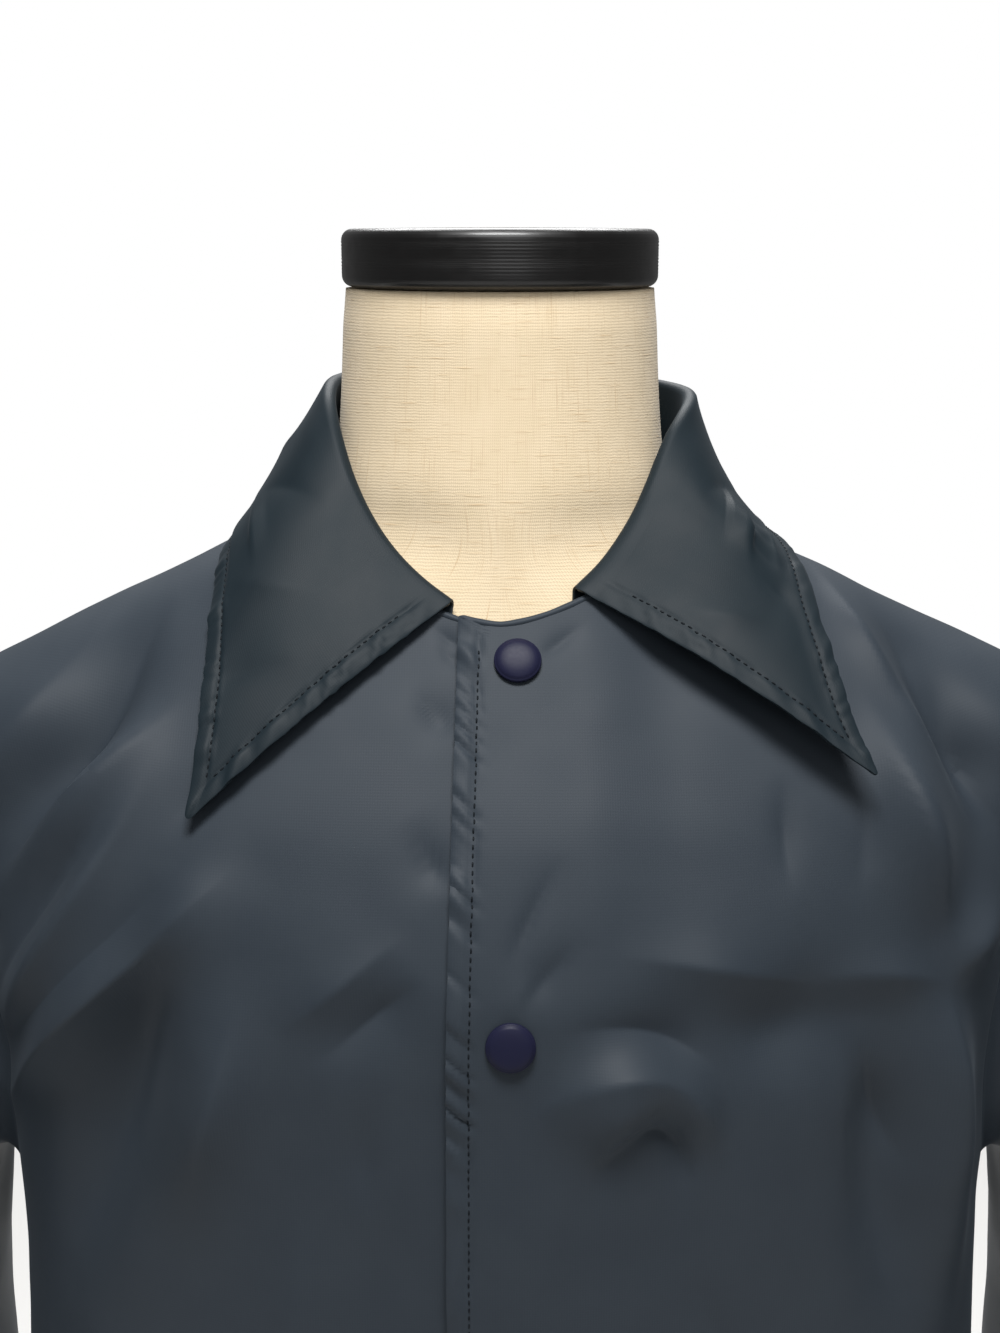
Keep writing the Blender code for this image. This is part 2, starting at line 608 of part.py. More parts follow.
def collar_section(station):
    """The collar's section at a station: up the stand, over the roll and down the fall to its edge."""
    size = {name: along(COLLAR_SECTIONS, "station", name, station) for name in CollarSection._fields}
    start, out = collar_seam(station)
    up = Vector((0, 0, 1))
    centre = start + up * (size["stand"] - ROLL_RADIUS) + out * size["lean"]
    edge_turn = turn_at(size["edge_x"], size["edge_height"])
    if abs(station) < 1:
        edge_turn = 180 - edge_turn
    edge = cloth_point(edge_turn, size["edge_height"], size["lift"])
    toward = edge - centre
    end_angle = math.atan2(max(0.0, toward.dot(out)), toward.dot(up))
    points = []
    stand_top = centre - out * ROLL_RADIUS
    for i in range(STAND_STEPS):
        points.append(start.lerp(stand_top, i / STAND_STEPS))
    for i in range(ROLL_STEPS + 1):
        angle = end_angle * i / ROLL_STEPS
        points.append(centre - out * (ROLL_RADIUS * math.cos(angle)) + up * (ROLL_RADIUS * math.sin(angle)))
    fall_start = points[-1]
    outward = (out + up * BULGE_RISE).normalized()
    bend = (fall_start + edge) / 2 + outward * (2 * size["bulge"])
    for i in range(1, FALL_STEPS + 1):
        s = i / FALL_STEPS
        fall = fall_start * (1 - s) ** 2 + bend * (2 * s * (1 - s)) + edge * s * s
        points.append(clear_of_body(fall, station))
    return points


def add_collar(collection, nylon):
    first, last = COLLAR_SECTIONS[0].station, COLLAR_SECTIONS[-1].station
    stations = [first + (last - first) * i / COLLAR_STEPS for i in range(COLLAR_STEPS + 1)]
    mesh = grid_mesh("collar", [[collar_section(station) for station in stations]])
    add_wall(add_object("collar", mesh, nylon, collection), COLLAR_WALL)


def snap_heights():
    """Heights of the snaps, one spacing apart along the closure's slope."""
    heights = []
    height, walked, step = FIRST_SNAP_HEIGHT, 0.0, 0.0005
    while len(heights) < SNAP_COUNT:
        if walked >= SNAP_SPACING * len(heights):
            heights.append(height)
        below = height - step
        turn, next_turn = turn_at(closure_x(height), height), turn_at(closure_x(below), below)
        walked += (body_point(turn, height) - body_point(next_turn, below)).length
        height = below
    return heights


def add_snaps(collection, plastic):
    """The snap caps: one turned profile each, seated on the upper front along the closure."""
    for number, height in enumerate(snap_heights(), 1):
        name = f"snap_{number}"
        profile = bmesh.new()
        ring = [profile.verts.new((p.radius * SNAP_RADIUS, 0, p.height * SNAP_HEIGHT)) for p in SNAP_PROFILE]
        for a, b in zip(ring, ring[1:]):
            profile.edges.new((a, b))
        mesh = bpy.data.meshes.new(name)
        profile.to_mesh(mesh)
        profile.free()
        snap = add_object(name, mesh, plastic, collection)
        turn = turn_at(closure_x(height), height)
        normal = body_normal(turn, height)
        seat = cloth_point(turn, height, LAP_LIFT + WALL / 2 + REST_GAP)
        snap.matrix_world = Matrix.Translation(seat) @ normal.to_track_quat("Z", "Y").to_matrix().to_4x4()
        turning = snap.modifiers.new("turned", "SCREW")
        turning.steps = turning.render_steps = SNAP_SIDES
        turning.use_merge_vertices = True
        turning.merge_threshold = WELD


# The dress form
def form_ring(row):
    """One level ring of the form, tipped forwards towards the top of the neck."""
    tip = smooth_step((row.height - NECK_BASE_HEIGHT) / (NECK_TOP_HEIGHT - NECK_BASE_HEIGHT))
    points = []
    for i in range(FORM_SIDES):
        angle = 2 * math.pi * i / FORM_SIDES
        forward = math.cos(angle)
        depth = row.front if forward > 0 else row.back
        x = row.half_width * signed_power(math.sin(angle), row.roundness)
        y = -depth * signed_power(forward, row.roundness)
        points.append(Vector((x, y, row.height + y * math.tan(NECK_TILT) * tip)))
    return points


def add_form(collection, linen):
    mesh = grid_mesh("dress_form", [[form_ring(row) for row in FORM_SLICES]], closed=True)
    shell = bmesh.new()
    shell.from_mesh(mesh)
    bmesh.ops.holes_fill(shell, edges=[edge for edge in shell.edges if edge.is_boundary])
    bmesh.ops.recalc_face_normals(shell, faces=shell.faces)
    shell.to_mesh(mesh)
    shell.free()
    form = add_object("dress_form", mesh, linen, collection)
    form.data.set_sharp_from_angle(angle=SHARP_EDGE)


def add_neck_cap(collection, wood):
    bpy.ops.mesh.primitive_cylinder_add(vertices=FORM_SIDES, radius=1.0, depth=CAP_THICKNESS)
    cap = bpy.context.object
    cap.name = cap.data.name = "neck_cap"
    cap.data.transform(Matrix.Diagonal((CAP_HALF_WIDTH, CAP_HALF_DEPTH, 1.0, 1.0)))
    for owner in cap.users_collection:
        owner.objects.unlink(cap)
    collection.objects.link(cap)
    cap.data.materials.append(wood)
    cap.data.shade_smooth()
    rise = NECK_TOP_HEIGHT + REST_GAP / math.cos(NECK_TILT)
    upright = Matrix.Rotation(NECK_TILT, 4, "X")
    seat = Vector((0, 0, rise)) + upright.to_3x3() @ Vector((0, 0, CAP_THICKNESS / 2))
    cap.matrix_world = Matrix.Translation(seat) @ upright
    edge = cap.modifiers.new("rounded edge", "BEVEL")
    edge.width = CAP_EDGE_RADIUS
    edge.segments = 3
    edge.limit_method = "ANGLE"


def main():
    for leftover in list(bpy.data.objects):
        bpy.data.objects.remove(leftover)
    collection = bpy.data.collections.new("jacket_on_dress_form")
    bpy.context.scene.collection.children.link(collection)
    nylon = make_material("slate_nylon", (0.035, 0.043, 0.055), 0.45)
    plastic = make_material("navy_snap_plastic", (0.014, 0.010, 0.040), 0.22)
    linen = make_material("cream_linen", (0.72, 0.60, 0.43), 0.9)
    wood = make_material("black_lacquered_wood", (0.012, 0.010, 0.012), 0.35)
    add_fronts(collection, nylon)
    add_back(collection, nylon)
    add_sleeves(collection, nylon)
    add_collar(collection, nylon)
    add_snaps(collection, plastic)
    add_form(collection, linen)
    add_neck_cap(collection, wood)


main()
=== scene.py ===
import math
from collections import namedtuple

import bpy
import numpy as np
from mathutils import Matrix, Vector


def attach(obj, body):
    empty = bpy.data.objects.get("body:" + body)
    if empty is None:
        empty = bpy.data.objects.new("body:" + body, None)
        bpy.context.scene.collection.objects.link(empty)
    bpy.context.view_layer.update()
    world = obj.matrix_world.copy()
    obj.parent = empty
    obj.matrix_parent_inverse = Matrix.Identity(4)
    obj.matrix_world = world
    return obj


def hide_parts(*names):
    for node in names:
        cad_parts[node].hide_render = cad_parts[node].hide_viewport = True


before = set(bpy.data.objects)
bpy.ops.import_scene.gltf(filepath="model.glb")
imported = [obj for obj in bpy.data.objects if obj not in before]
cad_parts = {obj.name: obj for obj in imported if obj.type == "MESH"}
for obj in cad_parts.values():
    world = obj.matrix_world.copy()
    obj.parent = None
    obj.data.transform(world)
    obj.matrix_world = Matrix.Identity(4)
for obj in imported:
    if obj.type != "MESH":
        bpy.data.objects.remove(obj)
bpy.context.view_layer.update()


# Dress form
# A limbless torso of pressed board with a stub of a neck that tips a little forwards. It is covered
# with one tight layer of ecru linen, stretched and glued, so the cover has no folds of its own.
FormSlice = namedtuple("FormSlice", "height half_width front back roundness")
FORM_SLICES = (
    FormSlice(0.000, 0.1500, 0.0960, 0.0840, 0.87),
    FormSlice(0.012, 0.1560, 0.1000, 0.0870, 0.87),
    FormSlice(0.100, 0.1630, 0.1030, 0.0880, 0.87),
    FormSlice(0.220, 0.1520, 0.0990, 0.0840, 0.87),
    FormSlice(0.330, 0.1430, 0.0970, 0.0800, 0.87),
    FormSlice(0.440, 0.1530, 0.1050, 0.0900, 0.87),
    FormSlice(0.540, 0.1640, 0.1140, 0.1040, 0.87),
    FormSlice(0.610, 0.1720, 0.1090, 0.1080, 0.87),
    FormSlice(0.650, 0.1800, 0.1000, 0.1060, 0.87),
    FormSlice(0.690, 0.1880, 0.0830, 0.0970, 0.87),
    FormSlice(0.708, 0.1925, 0.0740, 0.0910, 0.88),
    FormSlice(0.716, 0.1915, 0.0700, 0.0880, 0.90),
    FormSlice(0.722, 0.1860, 0.0670, 0.0850, 0.92),
    FormSlice(0.730, 0.1718, 0.0640, 0.0810, 1.00),
    FormSlice(0.740, 0.1512, 0.0602, 0.0760, 1.10),
    FormSlice(0.750, 0.1298, 0.0576, 0.0700, 1.25),
    FormSlice(0.760, 0.1083, 0.0564, 0.0650, 1.38),
    FormSlice(0.767, 0.0905, 0.0561, 0.0610, 1.42),
    FormSlice(0.771, 0.0790, 0.0560, 0.0590, 1.35),
    FormSlice(0.775, 0.0705, 0.0560, 0.0575, 1.20),
    FormSlice(0.780, 0.0655, 0.0563, 0.0565, 1.08),
    FormSlice(0.788, 0.0626, 0.0562, 0.0558, 1.00),
    FormSlice(0.800, 0.0604, 0.0561, 0.0553, 1.00),
    FormSlice(0.825, 0.0586, 0.0562, 0.0552, 1.00),
    FormSlice(0.853, 0.0574, 0.0570, 0.0560, 1.00),
    FormSlice(0.859, 0.0562, 0.0560, 0.0550, 1.00),
)
FORM_SIDES = 160
FORM_MEAN_RADIUS = 0.10
NECK_TILT = math.radians(6.0)
NECK_BASE_HEIGHT = 0.786
NECK_TOP_HEIGHT = 0.859
LINEN_THREAD = 0.0011
LINEN_LIGHT = "#e8d5b6"
LINEN_DARK = "#dcc8a5"
LINEN_SLUB = "#c09c6c"
WAVE_LENGTH_AT_SCALE_1 = math.pi / 10


def smooth_step(share):
    """0 to 1 with level ends, for shares that are held between 0 and 1."""
    share = np.clip(share, 0.0, 1.0)
    return share * share * (3 - 2 * share)


def signed_power(value, power):
    """The power of each value's size, with the value's sign."""
    return np.sign(value) * np.abs(value) ** power


def along(table, key, column, position):
    """A table's column at positions of its key column, on a smooth curve through the rows."""
    keys = np.array([getattr(row, key) for row in table])
    values = np.array([getattr(row, column) for row in table])
    position = np.clip(position, keys[0], keys[-1])
    i = np.clip(np.searchsorted(keys, position) - 1, 0, len(keys) - 2)
    secant = np.diff(values) / np.diff(keys)
    before, after = secant[:-1], secant[1:]
    rising = before * after > 0
    total = np.where(rising, before + after, 1.0)
    slope = np.concatenate([secant[:1], np.where(rising, 2 * before * after / total, 0.0), secant[-1:]])
    step = keys[i + 1] - keys[i]
    s = (position - keys[i]) / step
    start = (1 + 2 * s) * (1 - s) ** 2 * values[i] + s * (1 - s) ** 2 * step * slope[i]
    return start + s * s * (3 - 2 * s) * values[i + 1] - s * s * (1 - s) * step * slope[i + 1]


def grid_object(name, points, cut, around=False, capped=False):
    """A smooth mesh through a grid of points, rows of columns. Its UVs are places on the flat cloth, in
    metres, with one more column than the points where the grid goes all the way round."""
    rows, columns = points.shape[:2]
    index = np.arange(rows * columns).reshape(rows, columns)
    ring = np.concatenate([index, index[:, :1]], axis=1) if around else index
    corners = [ring[:-1, :-1], ring[:-1, 1:], ring[1:, 1:], ring[1:, :-1]]
    faces = np.stack(corners, axis=-1).reshape(-1, 4).tolist()
    places = [cut[:-1, :-1], cut[:-1, 1:], cut[1:, 1:], cut[1:, :-1]]
    flat = np.stack(places, axis=2).reshape(-1, 2)
    if capped:
        ends = [index[0][::-1], index[-1]]
        faces += [end.tolist() for end in ends]
        flat = np.concatenate([flat] + [points.reshape(-1, 3)[end][:, :2] for end in ends])
    mesh = bpy.data.meshes.new(name)
    mesh.from_pydata(points.reshape(-1, 3).tolist(), [], faces)
    mesh.uv_layers.new(name="cut").data.foreach_set("uv", flat.astype(np.float32).ravel())
    mesh.shade_smooth()
    made = bpy.data.objects.new(name, mesh)
    bpy.context.scene.collection.objects.link(made)
    return made


def linear(hex_colour):
    """An sRGB hex colour as linear red, green, blue and alpha."""
    parts = [int(hex_colour[i:i + 2], 16) / 255 for i in (1, 3, 5)]
    return (*[c / 12.92 if c <= 0.04045 else ((c + 0.055) / 1.055) ** 2.4 for c in parts], 1.0)


def add_node(tree, kind, inputs=(), **settings):
    """Adds a node with its settings, and sets or links each named or numbered input."""
    made = tree.nodes.new(kind)
    for name, value in settings.items():
        setattr(made, name, value)
    for name, value in dict(inputs).items():
        if isinstance(value, bpy.types.NodeSocket):
            tree.links.new(value, made.inputs[name])
        else:
            made.inputs[name].default_value = value
    return made


def new_material(name):
    """A material with its node tree and its shader."""
    made = bpy.data.materials.new(name)
    made.use_nodes = True
    return made, made.node_tree, made.node_tree.nodes["Principled BSDF"]


form_heights = np.concatenate([
    np.linspace(0.0, 0.70, 90, endpoint=False),
    np.linspace(0.70, 0.80, 80, endpoint=False),
    np.linspace(0.80, NECK_TOP_HEIGHT, 40),
])
form_angles = np.linspace(0, 2 * np.pi, FORM_SIDES, endpoint=False)
near_heights = [form_heights + step for step in (-0.008, -0.004, 0.0, 0.004, 0.008)]
form_size = {
    column: np.mean([along(FORM_SLICES, "height", column, near) for near in near_heights], axis=0)[:, None]
    for column in FormSlice._fields}
forward = np.cos(form_angles)[None, :]
form_x = form_size["half_width"] * signed_power(np.sin(form_angles)[None, :], form_size["roundness"])
form_depth = np.where(forward > 0, form_size["front"], form_size["back"])
form_y = -form_depth * signed_power(forward, form_size["roundness"])
tip = smooth_step((form_heights - NECK_BASE_HEIGHT) / (NECK_TOP_HEIGHT - NECK_BASE_HEIGHT))[:, None]
form_z = form_heights[:, None] + form_y * math.tan(NECK_TILT) * tip
form_points = np.stack([form_x, form_y, form_z], axis=-1)
cover_round = np.linspace(0, 2 * np.pi, FORM_SIDES + 1)[None, :] * FORM_MEAN_RADIUS
cover_cut = np.stack(np.broadcast_arrays(cover_round, form_heights[:, None]), axis=-1)
dress_form = grid_object("linen_form", form_points, cover_cut, around=True, capped=True)

# Linen, plain woven from uneven flax and stretched tight: a matt surface with a visible grid of threads
# and thicker, darker lengths of thread. The threads, about half a millimetre, are drawn twice as wide.
linen, tree, shader = new_material("slubbed_linen")
place = add_node(tree, "ShaderNodeUVMap", uv_map="cut").outputs["UV"]
thread = {"Vector": place, "Scale": WAVE_LENGTH_AT_SCALE_1 / LINEN_THREAD, "Distortion": 2.0, "Detail": 1.0}
warp = add_node(tree, "ShaderNodeTexWave", thread, bands_direction="X").outputs["Fac"]
weft = add_node(tree, "ShaderNodeTexWave", thread, bands_direction="Y").outputs["Fac"]
weave = add_node(tree, "ShaderNodeMath", {0: warp, 1: weft}, operation="MULTIPLY").outputs[0]
slubs = []
for slub_width, slub_height in ((0.020, 0.0009), (0.0009, 0.028)):
    size = {"Vector": place, "Scale": (1 / slub_width, 1 / slub_height, 1)}
    stretched = add_node(tree, "ShaderNodeMapping", size).outputs["Vector"]
    noise = add_node(tree, "ShaderNodeTexNoise", {"Vector": stretched, "Scale": 1.0, "Detail": 2.0})
    range_of = {"Value": noise.outputs["Fac"], "From Min": 0.60, "From Max": 0.80}
    slubs.append(add_node(tree, "ShaderNodeMapRange", range_of).outputs["Result"])
slub = add_node(tree, "ShaderNodeMath", {0: slubs[0], 1: slubs[1]}, operation="MAXIMUM").outputs[0]
patches = add_node(tree, "ShaderNodeTexNoise", {"Vector": place, "Scale": 60.0, "Detail": 4.0})
ground = add_node(tree, "ShaderNodeMix", {
    0: patches.outputs["Fac"], 6: linear(LINEN_LIGHT), 7: linear(LINEN_DARK)}, data_type="RGBA")
flecks = add_node(tree, "ShaderNodeMath", {0: slub, 1: 0.55}, operation="MULTIPLY").outputs[0]
cover = add_node(tree, "ShaderNodeMix", {
    0: flecks, 6: ground.outputs[2], 7: linear(LINEN_SLUB)}, data_type="RGBA")
raised = add_node(tree, "ShaderNodeMath", {0: weave, 1: slub}, operation="ADD").outputs[0]
relief = add_node(tree, "ShaderNodeBump", {"Strength": 0.32, "Distance": 0.0003, "Height": raised})
tree.links.new(cover.outputs[2], shader.inputs["Base Color"])
tree.links.new(relief.outputs["Normal"], shader.inputs["Normal"])
shader.inputs["Roughness"].default_value = 0.88
shader.inputs["Sheen Weight"].default_value = 0.15
dress_form.data.materials.append(linen)
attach(dress_form, "root")
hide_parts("dress_form")


# Neck cap
# A disc of turned beech that closes the form's neck, pinned from above. Its side keeps faint rings from
# the gouge under several coats of black lacquer, and both of its edges are rounded over.
CAP_HALF_WIDTH = 0.058
CAP_HALF_DEPTH = 0.060
CAP_THICKNESS = 0.0205
CAP_EDGE_RADIUS = 0.004
CAP_GAP = 0.0005
CAP_CROWN = 0.0006
CAP_SIDES = 144
TURNING_MARK = 0.0012
LACQUER = "#050404"


def lathe_object(name, profile, sides, half_width=1.0, half_depth=1.0):
    """A turned piece: its profile, radii and heights from the foot to the crown, all the way round."""
    radius, height = np.array(profile).T
    turn = np.linspace(0, 2 * np.pi, sides, endpoint=False)
    x = radius[:, None] * np.cos(turn)[None, :] * half_width
    y = radius[:, None] * np.sin(turn)[None, :] * half_depth
    points = np.stack([x, y, height[:, None] + 0 * x], axis=-1)
    walked = np.concatenate([[0], np.cumsum(np.hypot(np.diff(radius * half_width), np.diff(height)))])
    girth = np.linspace(0, 2 * np.pi * half_width * radius.max(), sides + 1)
    cut = np.stack(np.broadcast_arrays(girth[None, :], walked[:, None]), axis=-1)
    return grid_object(name, points, cut, around=True, capped=True)


corner = np.linspace(0, np.pi / 2, 9)
edge_share = CAP_EDGE_RADIUS / CAP_HALF_WIDTH
cap_side = np.linspace(CAP_EDGE_RADIUS, CAP_THICKNESS - CAP_EDGE_RADIUS, 60)[1:-1]
marks = 0.0016 * np.sin(2 * np.pi * cap_side / TURNING_MARK) * (0.6 + 0.4 * np.sin(cap_side * 900))
cap_profile = [(0.004, 0.0), (0.5, 0.0)]
cap_profile += [(1 - edge_share * (1 - math.sin(a)), CAP_EDGE_RADIUS * (1 - math.cos(a))) for a in corner]
cap_profile += [(1 + mark, z) for mark, z in zip(marks, cap_side)]
cap_profile += [
    (1 - edge_share * (1 - math.cos(a)), CAP_THICKNESS - CAP_EDGE_RADIUS * (1 - math.sin(a))) for a in corner]
cap_profile += [(r, CAP_THICKNESS + CAP_CROWN * (0.8 - r * r)) for r in (0.8, 0.6, 0.3, 0.004)]
neck_cap = lathe_object("turned_cap", cap_profile, CAP_SIDES, CAP_HALF_WIDTH, CAP_HALF_DEPTH)
cap_seat = Vector((0, 0, NECK_TOP_HEIGHT + CAP_GAP / math.cos(NECK_TILT)))
neck_cap.matrix_world = Matrix.Translation(cap_seat) @ Matrix.Rotation(NECK_TILT, 4, "X")

# Black lacquer over turned wood: a deep, nearly black body colour under a clear satin coat, which the
# turning marks and a little dust break up.
lacquer, tree, shader = new_material("black_lacquered_beech")
place = add_node(tree, "ShaderNodeUVMap", uv_map="cut").outputs["UV"]
rings = add_node(tree, "ShaderNodeTexWave", {
    "Vector": place, "Scale": WAVE_LENGTH_AT_SCALE_1 / TURNING_MARK, "Distortion": 1.0, "Detail": 2.0,
    "Detail Scale": 0.4}, bands_direction="Y")
wear = add_node(tree, "ShaderNodeTexNoise", {"Vector": place, "Scale": 180.0, "Detail": 5.0})
gloss = add_node(tree, "ShaderNodeMapRange", {"Value": wear.outputs["Fac"], "To Min": 0.28, "To Max": 0.50})
relief = add_node(tree, "ShaderNodeBump", {
    "Strength": 0.12, "Distance": 0.0002, "Height": rings.outputs["Fac"]})
tree.links.new(gloss.outputs["Result"], shader.inputs["Roughness"])
tree.links.new(relief.outputs["Normal"], shader.inputs["Normal"])
shader.inputs["Base Color"].default_value = linear(LACQUER)
shader.inputs["Coat Weight"].default_value = 0.20
shader.inputs["Coat Roughness"].default_value = 0.18
neck_cap.data.materials.append(lacquer)
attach(neck_cap, "root")
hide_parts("neck_cap")


# Fronts
# Two panels of plain-woven nylon, each cut in one from hem to shoulder. The wearer's left laps over the
# right: its edge is folded in, lockstitched in one row and puckers along the thread. Past the ends of the
# collar the neck edge is turned in over its seam allowance, which rolls it into a rim like a cord.
HEM_HEIGHT = 0.080
BODY_LENGTH = 0.698
SHOULDER_SLOPE = 0.467
NECK_POINT_X = 0.073
SHOULDER_POINT_X = 0.222
FRONT_NECK_DROP = 0.038
FRONT_NECK_POWER = 1.6
BACK_NECK_RISE = 0.008
UNDERARM_HEIGHT = 0.525
ARMHOLE_SCOOP_FRONT = 26.0
ARMHOLE_SCOOP_BACK = 22.0
CLOSURE_X = 0.0032
CLOSURE_LEAN = 0.023
CLOSURE_LEAN_FROM = 0.610
OVERLAP = 0.0202
LAP_LIFT = 0.0030
LAP_RAMP_START = 0.060
LAP_RAMP_END = 0.027
ROUNDNESS = 0.87
SEAM_GAP = 0.0005
SHOULDER_ROUNDING = 0.009
NARROW_FOLD = 0.0125
NECK_POINT_HEIGHT = HEM_HEIGHT + BODY_LENGTH
SHOULDER_POINT_HEIGHT = NECK_POINT_HEIGHT - SHOULDER_SLOPE * (SHOULDER_POINT_X - NECK_POINT_X)
FRONT_NECK_HEIGHT = NECK_POINT_HEIGHT - FRONT_NECK_DROP
CHEST_HEIGHT = 0.580
UNDERARM_ROW = 11
NECK_ROW = 16
SHOULDER_ROW = 25
CLOTH_THICKNESS = 0.0011
FORM_ROOM = 0.0018
FORM_EASE = 0.0010
FOLDED_EDGE = 0.00045
STITCH_INSET = 0.0070
EDGE_FULLNESS = 0.0004
GROOVE_DEPTH = 0.0006
GROOVE_WIDTH = 0.0011
PUCKER_HEIGHT = 0.0020
PUCKER_LENGTH = 0.0052
PUCKER_SLANT = 0.9
EDGE_SWAY = 0.0003
EDGE_SWAY_LENGTH = 0.018
SWELL_HEIGHT = 0.0010
SWELL_LENGTH = 0.045
SMALL_SWELL_HEIGHT = 0.0003
SMALL_SWELL_LENGTH = 0.017
HEM_DEPTH = 0.016
HEM_PUCKER = 0.6
HEM_PER_DEGREE = 0.003
STITCH_PITCH = 0.0028
STITCH_LENGTH = 0.0023
THREAD_RADIUS = 0.00030
THREAD_NAVY = "#11161b"
STITCH_RINGS = 5
STITCH_SIDES = 6
NECK_RIM_RADIUS = 0.0013
NECK_RIM_END = 0.34
LOWER_RIM_START = 0.10
NYLON_DARK = "#2b323a"
NYLON_LIGHT = "#323940"

# Level slices through the jacket's body: half width, and depth to the front and to the back of X = 0
BodySlice = namedtuple("BodySlice", "height half_width front back")
BODY_SLICES = (
    BodySlice(0.080, 0.190, 0.121, 0.106),
    BodySlice(0.200, 0.187, 0.121, 0.107),
    BodySlice(0.350, 0.183, 0.122, 0.109),
    BodySlice(0.500, 0.182, 0.124, 0.117),
    BodySlice(0.570, 0.186, 0.126, 0.121),
    BodySlice(0.600, 0.190, 0.1265, 0.122),
    BodySlice(0.620, 0.194, 0.1255, 0.122),
    BodySlice(0.640, 0.198, 0.1215, 0.121),
    BodySlice(0.670, 0.206, 0.1100, 0.116),
    BodySlice(0.708, 0.222, 0.0865, 0.104),
    BodySlice(0.740, 0.222, 0.0660, 0.089),
    BodySlice(0.778, 0.222, 0.0450, 0.068),
    BodySlice(0.790, 0.222, 0.0400, 0.060),
)

